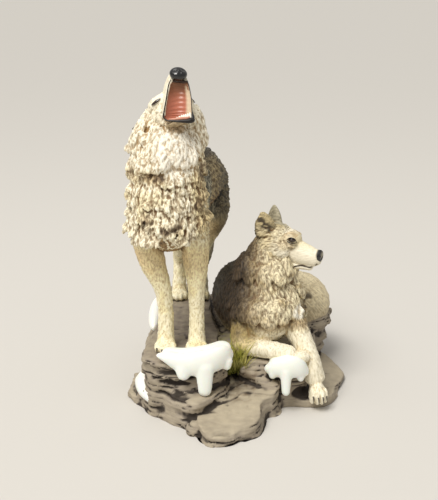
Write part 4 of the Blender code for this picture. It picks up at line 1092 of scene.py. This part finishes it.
# Howler's ruff
obj = skin("howler_ruff", howler_ruff(), RUFF_FACE)
points, normals = read(obj)
q = points - HOWLER_AT
behind = ease(q[:, 1], 12, 26)
flow = over(np.tile([0.0, 0.0, -1.0], (len(q), 1)), (0.1, 0.75, -0.65), behind)
flow = flow + 0.3 * np.stack([np.sign(q[:, 0] + 7) * 0.6 + noise(points, 14, 1), 0 * q[:, 0], 0 * q[:, 0]], -1)
# Painted light: a pale pool on the front of the throat, where the wash is also thinner and paler
painted_light_spot = spot(points, (-38, -55, 180), (15, 30, 17))
layers = [(3.6, 6.5, 2.2, 0.7), (2.0, 4.0, 1.1, 0.35)]
carve(obj, flow, layers, 100, (0, 0, 1), [(1.8, 4.0, 0.5)], wash=1 - 0.4 * painted_light_spot, hair=0.7)
side_fur = ease(q[:, 0] + 0.10 * (q[:, 2] - 100), 7, 14) * ease(q[:, 2], 128, 112)
blotchy = ease(noise(points, 11, 2, 2), -0.1, 0.7)
mid_left = spot(points, (-62, -34, 164), (13, 26, 5)) + spot(points, (-52, -50, 162), (7, 14, 4))
mid_right = spot(points, (-20, -34, 160), (10, 22, 20))
# Painted shade in the hollows between the clumps: the middle and the three radii of each
dark = [
    ((-57, -48, 135), (4.5, 16, 5)), ((-45, -52, 130.5), (5, 16, 3.2)), ((-37.5, -52, 131), (3.5, 16, 3.2)),
    ((-51, -45, 163), (7, 16, 2.8)), ((-20.5, -30, 166), (6, 20, 7)), ((-23.5, -45, 144), (4, 16, 4)),
    ((-67, -20, 166), (3, 22, 7)),
]
shaded = np.clip(sum(spot(points, *hollow) for hollow in dark), 0, 1)
shaded = shaded * ease(noise(points, 2.6, 13, 2), -0.9, 0.5)
store(obj, "coat", paint(
    points, "#efe5ca",
    ("#ebdfbf", ease(q[:, 2], 128, 112)),
    ("#d9c8a0", 0.65 * blotchy * ease(q[:, 2], 128, 116)),
    ("#c2ae80", 0.8 * side_fur),
    ("#c9b78e", 0.6 * mid_right),
    ("#a88f62", 0.4 * mid_left),
    ("#fbf4e4", 0.8 * painted_light_spot),
    # painted shade under the chin
    ("#9a7b4c", 0.75 * spot(points, (-37, -46, 195), (9, 12, 5))),
    # painted shade in the hollows between the clumps
    ("#5a4022", 0.85 * shaded),
    ("#8c8468", behind),
    # painted shade under the chest
    ("#6d5836", 0.9 * ease(q[:, 2], 74, 66)),
))
store(obj, "wash", paint(
    points, "#94703d",
    ("#6b4820", ease(q[:, 2], 124, 112)),
    ("#b8975f", 0.8 * painted_light_spot),
    # painted shade in the hollows between the clumps
    ("#3a2614", shaded),
))
finish_piece(obj, cream_fur)
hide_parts("wolf_figurine")

# Howler's trunk, tail and legs
obj = skin("howler_body", howler_trunk() + howler_legs(), BODY_FACE)
points, normals = read(obj)
q = points - HOWLER_AT
legs = ease(q[:, 2], 84, 70)
tail_part = ease(q[:, 1], 1.17 * BACK, 1.22 * BACK) * ease(q[:, 2], 15, 22)
flow = over(np.tile([0.12, 0.9, -0.4], (len(q), 1)), (0, 0.1, -1), np.maximum(legs, tail_part))
paws = ease(q[:, 2], 11, 7)
long = 5.8 - 1.9 * legs - 1.5 * paws
short = 3.0 - 0.8 * legs
upper = ease(q[:, 2], 66, 78)
flank = ease(q[:, 1], 2, 12) * upper
layers = [
    (short, long, 0.62 * short, 0.8 - 0.55 * legs + 0.4 * flank),
    (2.0, 0.6 * long, 1.0, 0.4 - 0.2 * legs - 0.1 * paws),
]
ridge = 0.5 - 0.1 * legs - 0.25 * paws + 0.2 * flank
lies = np.where((q[:, [2]] < 76) | (tail_part[:, None] > 0.5), (0, 0, 1), (0, 0.5, -0.86))
carve(
    obj, flow, layers, 110, lies, [(2.0, 5.0, ridge)],
    wash=1 - 0.55 * legs - 0.2 * paws, depth=0.8, nap=1.5 - 1.0 * legs, hair=np.where(q[:, 2] < 76, 0.4, 0.8),
)
band = ease(q[:, 1], 20, 30) * ease(q[:, 1], 62, 50) * upper
rump = ease(q[:, 1], 54, 68) * ease(q[:, 2], 74, 92)
flecks = flank * ease(noise(points * (1, 1, 0.6), 1.5, 19), 0.05, 0.5)
# Painted shade on the fur that faces down under the belly
under = ease(normals[:, 2], -0.1, -0.6) * ease(q[:, 2], 56, 64)
store(obj, "coat", paint(
    points, "#e8dab4",
    ("#d6c294", 0.6 * ease(noise(points, 7, 3, 2), 0.0, 0.7)),
    ("#cdb586", 0.7 * ease(q[:, 2], 34, 60) * (1 - upper)),
    ("#8e8975", flank),
    ("#ad9a70", 0.85 * band),
    ("#5d5a4f", 0.9 * rump),
    ("#4f4c44", ease(normals[:, 2], 0.3, 0.75) * upper),
    ("#2f2c26", 0.7 * flecks * (1 - 0.5 * band)),
    # painted shade under the belly
    ("#7a5c33", 0.9 * under),
    # painted shade on the outer right side of the hind legs
    ("#6f6348", 0.85 * ease(q[:, 0], 20, 30) * ease(q[:, 2], 46, 62)),
    ("#6a6353", 0.8 * tail_part),
))
# The wash is darkest in the painted shade under the belly
store(obj, "wash", paint(points, "#a98a55", ("#2c2a24", flank), ("#5b4526", 0.8 * band), ("#3a2614", under)))
finish_piece(obj, cream_fur)

# Howler's head
obj = skin("howler_head", howler_head(), HEAD_FACE)
points, normals = read(obj)
h = seen_from(HOWLER_HEAD, points)
flow = np.tile(-HOWLER_HEAD[:3, 0], (len(points), 1)) + 0.12 * noise(points, 8, 4)[:, None]
bare = ease(h[:, 0], 3, 14)
layers = [(3.2, 6.0 - 2.5 * bare, 1.9, 0.8 - 0.72 * bare), (1.8, 3.0, 0.9, 0.25 - 0.18 * bare)]
carve(
    obj, flow, layers, 120, HOWLER_HEAD[:3, 0], [(2.0, 4.5, 0.45 - 0.4 * bare)],
    wash=0.8 - 0.6 * bare, depth=0.8, nap=0.8 - 0.6 * bare,
)
from_ear = h - np.array([-15, 0, 7]) - np.sign(h[:, [1]]) * np.array([0, 17, 0])
ears = ease(np.linalg.norm(from_ear, axis=1), 14, 9)
j = seen_from(JAW, points)
inside = ease(np.abs(h[:, 1]), 7.2, 5.8) * ease(h[:, 0], -4, 1) * ease(h[:, 2], -0.5, -2.0)
inside = inside * ease(j[:, 2], 0.2, 1.2) * ease(h[:, 0], 25.5, 24)
# Painted shade under the lower jaw
painted_chin_shade = spot(points, (-37, -46, 196), (9, 12, 5))
store(obj, "coat", paint(
    points, "#f1e8cf",
    ("#dccda2", 0.6 * ease(h[:, 0], 2, -10)),
    ("#8b8370", ease(h[:, 2], 6, 10) * ease(h[:, 0], 8, -2)),
    ("#2e241a", ears),
    ("#8f5a42", inside),
    ("#8f7346", 0.8 * painted_chin_shade),
))
store(obj, "wash", paint(points, "#94764a"))
finish_piece(obj, short_fur)

# Resting wolf's body
obj = skin("rester_body", rester_body(), REST_BODY_FACE)
points, normals = read(obj)
q = points - RESTER_AT
legs = np.maximum(ease(q[:, 1], -12, -18) * ease(q[:, 2], 24, 16), spot(q, (33, -26, -12), (12, 14, 26)))
haunch_part = spot(q, (0.5 * REST_HAUNCH + 4, 0.70 * REST_LENGTH, 10), (28, 26, 30))
back_part = ease(q[:, 1], 6, 20)
across = q[:, 0] - 0.12 * q[:, 2] + 3 * noise(points, 9, 7)
grizzle = ease(across, -4, -15) * ease(q[:, 2], 4, 18)
mane = ease(across, -12, -23) * ease(q[:, 2], 4, 20)
flow = over(np.tile([0.05, -0.1, -1.0], (len(q), 1)), (-0.15, 0.9, -0.4), back_part)
flow = over(flow, (0.5, -0.3, -0.8), haunch_part)
flow = over(flow, (0.7, -0.4, -0.5), legs)
smooth = np.maximum(legs, haunch_part)
layers = [
    (3.6 - 0.8 * smooth, 8 - 3.5 * smooth, 2.2 - 0.5 * smooth, 0.8 - 0.7 * smooth),
    (2.2, 4.5 - 1.2 * smooth, 1.2, 0.4 - 0.2 * smooth),
]
carve(
    obj, flow, layers, 130, np.where(haunch_part[:, None] > 0.5, (0.5, 0.3, -0.8), (-0.12, 0, 1)),
    [(1.8, 5.5, 0.45 - 0.15 * smooth)], wash=0.75 - 0.35 * smooth, nap=1.2 - 0.5 * legs - 0.9 * haunch_part,
)
ochre = spot(q, (-16, -17, 12), (16, 14, 12)) * (0.6 + 0.4 * noise(points, 5, 14))
tuft = spot(q, (24, -14, 30), (7, 9, 4.5))
# Painted shade on the lower part of the haunch
painted_haunch_shade = haunch_part * ease(q[:, 2], 14, 2)
specks = spot(points, (54, 31, 53), (4, 14, 7)) * ease(noise(points, 3.5, 8), 0.0, 0.35)
store(obj, "coat", paint(
    points, "#d2c5a4",
    ("#ebe0c2", legs),
    ("#a8946a", 0.7 * ease(noise(points * (1, 1, 2), 7, 5, 2), 0, 0.8) * (1 - smooth)),
    ("#8d734a", 0.7 * ease(q[:, 2] + 3 * noise(points, 6, 9), 30, 22) * ease(q[:, 2], 12, 18) * (1 - smooth)),
    ("#7d6b4c", 0.85 * grizzle),
    ("#483b2b", mane),
    ("#4a4336", back_part * ease(q[:, 2], 22, 34) * (1 - haunch_part)),
    ("#cdc09f", haunch_part),
    ("#a8997a", 0.6 * haunch_part * ease(noise(points, 9, 17, 2), -0.1, 0.6)),
    ("#97866a", 0.8 * painted_haunch_shade),
    ("#b8a366", 0.7 * ochre),
    ("#3f352a", 0.9 * specks),
    ("#f6f0de", tuft),
))
store(obj, "wash", paint(points, "#6d5233", ("#1d1611", mane), ("#b39460", smooth), ("#c9b184", tuft)))
finish_piece(obj, grey_fur)

# Resting wolf's head: the mouth line and the inside of each ear are cut into the skin and painted
obj = skin("rester_head", rester_head(), REST_HEAD_FACE)
points, normals = read(obj)
h = seen_from(RESTER_HEAD, points)
side_on = h * np.array([1, 0, 1])
mouth = stroke(side_on, [
    (10.7, 0, -16.6), (14.7, 0, -14.2), (18, 0, -12.8), (22, 0, -12.9), (26.5, 0, -12.8), (28.5, 0, -10),
], 0.9)
mouth *= ease(np.abs(h[:, 1]), 1.0, 2.2)
brow = stroke(side_on, [(3.0, 0, 6.6), (7.4, 0, 8.6), (11.4, 0, 7.0)], 1.0) * ease(h[:, 0], 2, 5)
ears = ease(h[:, 2], 9.0, 12.0)
near_ear = ears * ease(h[:, 1], 0, -3)
cup = ease(h[:, 1], 0, -3) * stroke(side_on, [(-14.0, 0, 16.5), (-10.5, 0, 13.0), (-6.0, 0, 9.5)], 3.6)
write(obj, points - normals * (0.7 * mouth + 0.4 * cup)[:, None])
flow = np.tile(-RESTER_HEAD[:3, 0], (len(points), 1)) + np.array([0, 0, -0.25])
bare = np.maximum(ease(h[:, 0], 1, 10), ears)
layers = [(2.8, 5.5 - 2.5 * bare, 1.8, 0.65 - 0.6 * bare), (1.8, 2.8, 0.9, 0.25 - 0.2 * bare)]
face = ease(h[:, 0], 6, 14)
carve(
    obj, flow, layers, 140, unit(-RESTER_HEAD[:3, 0] + np.array([0, 0, -0.5])), [(1.7, 3.5, 0.4 - 0.36 * bare)],
    wash=0.8 - 0.5 * bare, depth=0.8, nap=1.0 - 0.85 * face,
)
nape = ease(h[:, 0] + 0.25 * h[:, 2], -11, -15) * ease(h[:, 2], -14, -2)
tear = stroke(side_on, [(9.6, 0, 3.0), (10.6, 0, 0.2), (10.4, 0, -2.6)], 1.0) * 0.45
store(obj, "coat", paint(
    points, "#eee5cc",
    ("#bfb08a", 0.9 * ease(h[:, 0] + 2.5 * noise(h, 5, 15), 9, -4)),
    ("#b09a70", 0.55 * spot(side_on, (8, 0, 3), (6.5, 6, 5.5))),
    ("#8f8974", 0.85 * ears),
    ("#b8a67c", 0.8 * near_ear),
    ("#2b2118", 0.92 * cup * ease(noise(h * np.array([1, 1, 2.2]), 2.4, 11), -0.6, -0.1)),
    ("#33291f", nape),
    ("#d3c39c", 0.6 * face * ease(h[:, 2], -3, 2)),
    ("#151517", spot(h, (28.6, 0, -3.2), (2.4, 4.6, 4.2))),
    ("#a98f63", 0.6 * brow),
    ("#8a6f48", tear),
    ("#241a13", mouth),
))
store(obj, "wash", paint(points, "#6a4e2a", ("#1d1611", nape)))
finish_piece(obj, short_fur)

# Rock, snow and grass
obj = skin("rock_base", rocks(), ROCK_FACE, passes=1)
points, normals = read(obj)
move, crack = strata(points, normals)
moved_points = points + normals * move[:, None]
moved_points[:, 2] = np.maximum(moved_points[:, 2], 0)
write(obj, moved_points)
store(obj, "recess", np.clip(crack + 0.8 * ease(sunken(obj, 30), 0.1, 1.3), 0, 1))
streaks = ease(noise(points * (1, 1, 0.4), 2.6, 18, 2), -0.4, 0.5)
store(obj, "coat", paint(
    points, "#938879",
    # painted light on the upward faces of the low rocks
    ("#a99e88", 0.8 * ease(normals[:, 2], 0.5, 0.9) * ease(points[:, 2], 26, 14)),
    ("#7c7168", 0.8 * ease(points[:, 2], 34, 42) * ease(normals[:, 2], 0.4, 0.9)),
    ("#877c6c", 0.6 * ease(noise(points, 20, 6, 2), -0.1, 0.7)),
    ("#5f4c36", 0.7 * spot(points, (3, -44, 21), (14, 20, 11)) * streaks),
    ("#a39c66", 0.6 * spot(points, (-5, -12, 40), (8, 22, 14)) * ease(noise(points, 4, 16, 2), -0.6, 0.5)),
))
finish_piece(obj, rock_paint)

obj = skin("snow", snow(), SNOW_FACE, passes=6)
finish_piece(obj, snow_paint)

# Grass: matt yellow-green, darker at the foot, so that the tuft stands out from the rock
grass_paint, grass_tree, grass_shader = new_material("matt_yellow_green_grass_paint", 0.6, "#b5b04a")
grass_coat = node(grass_tree, "ShaderNodeAttribute", attribute_name="coat").outputs["Vector"]
grass_tree.links.new(grass_coat, grass_shader.inputs["Base Color"])
obj = solid("grass", grass())
points = read(obj)[0]
store(obj, "coat", paint(
    points, "#c9c272",
    ("#9c9c3a", ease(noise(points, 4, 12), -0.2, 0.5)),
    ("#7a7c2a", ease(points[:, 2], 34, 25)),
))
finish_piece(obj, grass_paint)

# Noses, eyes, claws, lips, palate, gum and teeth

def nose_pad(where, centre, radii):
    """A nose: an ellipsoid with two nostril pits and the groove between them pressed in.

    Each point moves inwards by depth * exp(-(distance from the pit / width)^2).
    """
    made, quads, tris = ball(np.eye(4), (0, 0, 0), radii, 40)
    nostrils = (((1.0, 0.55, -0.05), 0.32, 1.3), ((1.0, -0.55, -0.05), 0.32, 1.3))
    groove = (((1.0, 0, -0.5), 0.2, 0.5), ((1.0, 0, -0.9), 0.2, 0.5))
    for pit, width, depth in nostrils + groove:
        gap = np.linalg.norm(made / np.array(radii) - np.array(pit) / np.linalg.norm(pit), axis=1)
        made = made * (1 - (depth / np.mean(radii) * np.exp(-((gap / width) ** 2))))[:, None]
    return moved(where, made + np.array(centre)), quads, tris


def eyelids(where, side):
    """A dark rim round an eye, drawn out to a point at its inner and outer corners."""
    x, y, z = 8.6 - 1.5 * side, side * 7.9, 4.0 - 0.8 * side
    inner, outer = (x + 3.4, y - side * 1.4, z - 1.6), (x - 3.8, y + side * 0.7, z - 0.6)
    upper = [inner, (x + 1.6, y + side * 0.9, z + 1.5), (x - 1.2, y + side * 1.4, z + 1.6), outer]
    lower = [inner, (x + 0.8, y + side * 1.0, z - 1.9), (x - 1.8, y + side * 1.3, z - 1.7), outer]
    made = []
    for line in (upper, lower):
        rows = [(*point, thick, thick) for point, thick in zip(line, (0.15, 0.35, 0.35, 0.15))]
        made.append(tube(where, rows, across=(0, 0, 1), sides=8))
    return made


finish_piece(solid("howler_nose", [nose_pad(HOWLER_HEAD, (28.9, -0.3, -1.3), (3.8, 5.6, 5.4))]), black_gloss)
finish_piece(solid("rester_nose", [nose_pad(RESTER_HEAD, (28.3, 0, -4.9), (3.1, 3.8, 4.4))]), black_gloss)
eyes, lids = [], []
for side in (-1, 1):
    middle, radii = (8.6 - side, side * 7.7, 4.0 - 0.8 * side), (2.4 - 0.4 * side, 1.6, 1.7)
    eyes.append(ball(RESTER_HEAD, middle, radii))
    lids += eyelids(RESTER_HEAD, side)
finish_piece(solid("rester_eyes", eyes), eye_paint)
finish_piece(solid("rester_eyelids", lids), lip_paint)
# The howler's eyes are shut to slits, each a spindle that runs along `way` through its middle
slits = []
for side, middle in ((1, (9.8, -13.1, -2.3)), (-1, (8.2, 11.5, 1.0))):
    way = np.array([0.65, 0.76 * side, 0.03])
    spindle = ((-3.4, 0.4), (-1.2, 1.1), (1.4, 1.0), (3.6, 0.3))
    rows = [(*(np.array(middle) + way * along), wide, 0.7 * wide) for along, wide in spindle]
    slits.append(tube(HOWLER_HEAD, rows, across=(0, 0, 1), sides=12))
finish_piece(solid("howler_eyes", slits), eye_paint)
feet = [*((HOWLER, *foot) for foot in FOREFEET), (RESTER, *HANGING_FOOT)]
finish_piece(solid("claws", [claw for foot in feet for claw in claws(*foot)]), claw_paint)

# Rim of the howler's open mouth, from the nose down each side to the lower lip
LEFT_RIM = np.array([
    (26.3, -5.6, -3.7), (23.3, -7.3, -5.8), (16.9, -9.6, -11.6), (11.2, -11.5, -16), (8.9, -12.1, -18.1),
    (7.8, -10.3, -20.5),
])
RIGHT_RIM = np.array([
    (26.5, 4.4, -5.8), (23.5, 5.1, -9.3), (19.7, 5.3, -14.8), (14.2, 4.9, -19.7), (11.6, 4.9, -21.9),
    (10.3, 4.9, -23.3),
])
INWARD = np.array([-0.65, 0.31, 0.70])


def roof():
    """The hollow roof of the mouth.

    Point(s, t) = left(s) (1 - t) + right(s) t + inward (sink(s) sin(pi t)^0.7 + ridge). The ridges run across
    it as arcs, a cosine of s + 0.05 sin(pi t), and fade towards both sides.
    """
    s, t = np.linspace(0, 1, 90), np.linspace(0, 1, 40)
    steps = np.linspace(0, 1, 26)
    left, right = (
        np.stack([np.interp(s, steps, axis) for axis in spline(rim, 5).T], -1) for rim in (LEFT_RIM, RIGHT_RIM)
    )
    arch = np.sin(math.pi * t)[None]
    sink = (2.2 + 3.0 * ease(s, 0, 0.3) - 1.2 * ease(s, 0.75, 1.0))[:, None] * arch**0.7
    sink = sink + 0.16 * np.cos(math.tau * 13 * (s[:, None] + 0.05 * arch)) * arch
    sheet = left[:, None] * (1 - t[:, None]) + right[:, None] * t[:, None] + INWARD * sink[..., None]
    back = sheet + INWARD * 0.8
    return np.concatenate([sheet, back[:, ::-1]], axis=1), s, t


# Mouth: satin salmon, the warmest colour on the figurine, with painted shade that darkens it to brown in its
# upper half and nearly black along its top edge by the nose
palate_paint, palate_tree, palate_shader = new_material("satin_salmon_mouth_paint", 0.35, "#b8705a")
palate_coat = node(palate_tree, "ShaderNodeAttribute", attribute_name="coat").outputs["Vector"]
palate_tree.links.new(palate_coat, palate_shader.inputs["Base Color"])
rings, s, t = roof()
obj = solid("howler_palate", [close_rings(moved(HOWLER_HEAD, rings))])
down, aside = (grid.ravel() for grid in np.meshgrid(s, np.concatenate([t, t[::-1]]), indexing="ij"))
down, aside = np.append(down, (0, 1)), np.append(aside, (0.5, 0.5))
store(obj, "coat", paint(
    down, "#ba7059",
    # painted shade in the upper half of the palate and along its top edge
    ("#8a5d3f", ease(down, 0.5, 0.1)),
    ("#2e1f18", 0.9 * ease(down, 0.10, 0.03)),
    ("#c98a72", 0.6 * ease(down, 0.8, 0.95)),
    ("#e0cdb0", ease(aside, 0.74, 0.88) * ease(down, 0.08, 0.2)),
    ("#8a6a50", 0.7 * ease(aside, 0.12, 0.02)),
))
finish_piece(obj, palate_paint)
# The black lip goes once round the mouth and is thickest at the bottom right: points and thickness
lip_line = [
    (26.3, -5.6, -3.7, 0.35), (23.3, -7.3, -5.8, 0.4), (16.9, -9.6, -11.6, 0.45), (11.2, -11.5, -16, 0.5),
    (8.9, -12.1, -18.1, 0.55), (7.8, -10.3, -20.5, 0.6), (8.4, -7.0, -22.2, 0.7), (8.9, -4.2, -23.6, 0.9),
    (9.3, 0.5, -24.6, 1.5), (9.6, 3.6, -24.8, 1.9), (10.2, 5.4, -24.0, 1.4), (14.2, 5.1, -19.9, 0.4),
    (19.7, 5.4, -14.9, 0.35), (23.5, 5.3, -9.3, 0.4), (26.5, 4.6, -5.8, 0.4),
]
lip_rows = [(*(np.array(row[:3]) - 0.4 * INWARD), 0.8 * row[3], 0.8 * row[3]) for row in lip_line]
finish_piece(solid("howler_lips", [tube(HOWLER_HEAD, lip_rows, across=(0.4, 0.1, 0.5), sides=10)]), lip_paint)
gum = [
    (8.6, -9.0, -20.6, 0.5), (9.2, -6.0, -21.6, 0.8), (10.0, -2.4, -22.4, 1.0), (10.4, 1.4, -22.9, 1.0),
    (11.0, 3.8, -22.3, 0.8),
]
gum_rows = [(x, y, z, thick, thick) for x, y, z, thick in gum]
obj = solid("howler_gum", [tube(HOWLER_HEAD, gum_rows, across=(0, 0, 1), sides=12)])
store(obj, "coat", paint(read(obj)[0], "#c98f78"))
finish_piece(obj, palate_paint)
# Lower teeth, taller towards the right: share of the way along the gum, and height
teeth = []
heights = ((0.30, 0.9), (0.42, 1.4), (0.53, 1.8), (0.63, 2.0), (0.73, 2.2), (0.84, 2.4), (0.95, 2.9))
for share, height in heights:
    base = np.array([8.9 + 1.9 * share, -8.0 + 12.4 * share, -21.4 - 1.4 * share])
    tip = base + np.array([0.75, 0.0, 0.66]) * height
    rows = [(*base, 0.95, 0.9), (*(0.5 * (base + tip)), 0.9, 0.8), (*tip, 0.55, 0.5)]
    teeth.append(tube(HOWLER_HEAD, rows, across=(0, 1, 0), sides=12))
finish_piece(solid("howler_teeth", teeth), tooth_paint)

# Stage, light and camera
bpy.ops.mesh.primitive_plane_add(size=40)
floor = bpy.context.object
floor.name = "floor"
floor.data.materials.append(new_material("pale_studio_paper", 0.9, "#cfccc6")[0])
world = bpy.data.worlds.new("studio")
world.use_nodes = True
world.node_tree.nodes["Background"].inputs["Color"].default_value = (1.0, 0.98, 0.95, 1)
world.node_tree.nodes["Background"].inputs["Strength"].default_value = 0.42
bpy.context.scene.world = world
bpy.context.scene.view_settings.view_transform = "Standard"


def lamp(kind, name, at, aim, size, power, colour):
    """A studio light, soft because it is wide: `size` is metres for an area light and radians for a sun."""
    light = bpy.data.lights.new(name, kind)
    light.energy, light.color = power, colour
    setattr(light, "angle" if kind == "SUN" else "size", size)
    stand = bpy.data.objects.new(name, light)
    stand.location = at
    way = np.array(aim, float) - np.array(at, float)
    stand.rotation_euler = (math.atan2(math.hypot(way[0], way[1]), -way[2]), 0, math.atan2(-way[0], way[1]))
    bpy.context.scene.collection.objects.link(stand)


lamp("SUN", "window", (-0.6, -0.9, 1.6), (0, 0, 0.1), 0.5, 2.5, (1.0, 0.97, 0.92))
lamp("AREA", "ceiling", (-0.25, -0.2, 1.2), (0, 0, 0.1), 0.8, 4, (1.0, 0.98, 0.95))

camera = bpy.data.cameras.new("camera")
camera.lens, camera.sensor_width = 68.4, 36
shot = bpy.data.objects.new("camera", camera)
shot.location, shot.rotation_euler = (-0.0117, -0.635, 0.284), (math.radians(74), 0, 0)
bpy.context.scene.collection.objects.link(shot)
bpy.context.scene.camera = shot
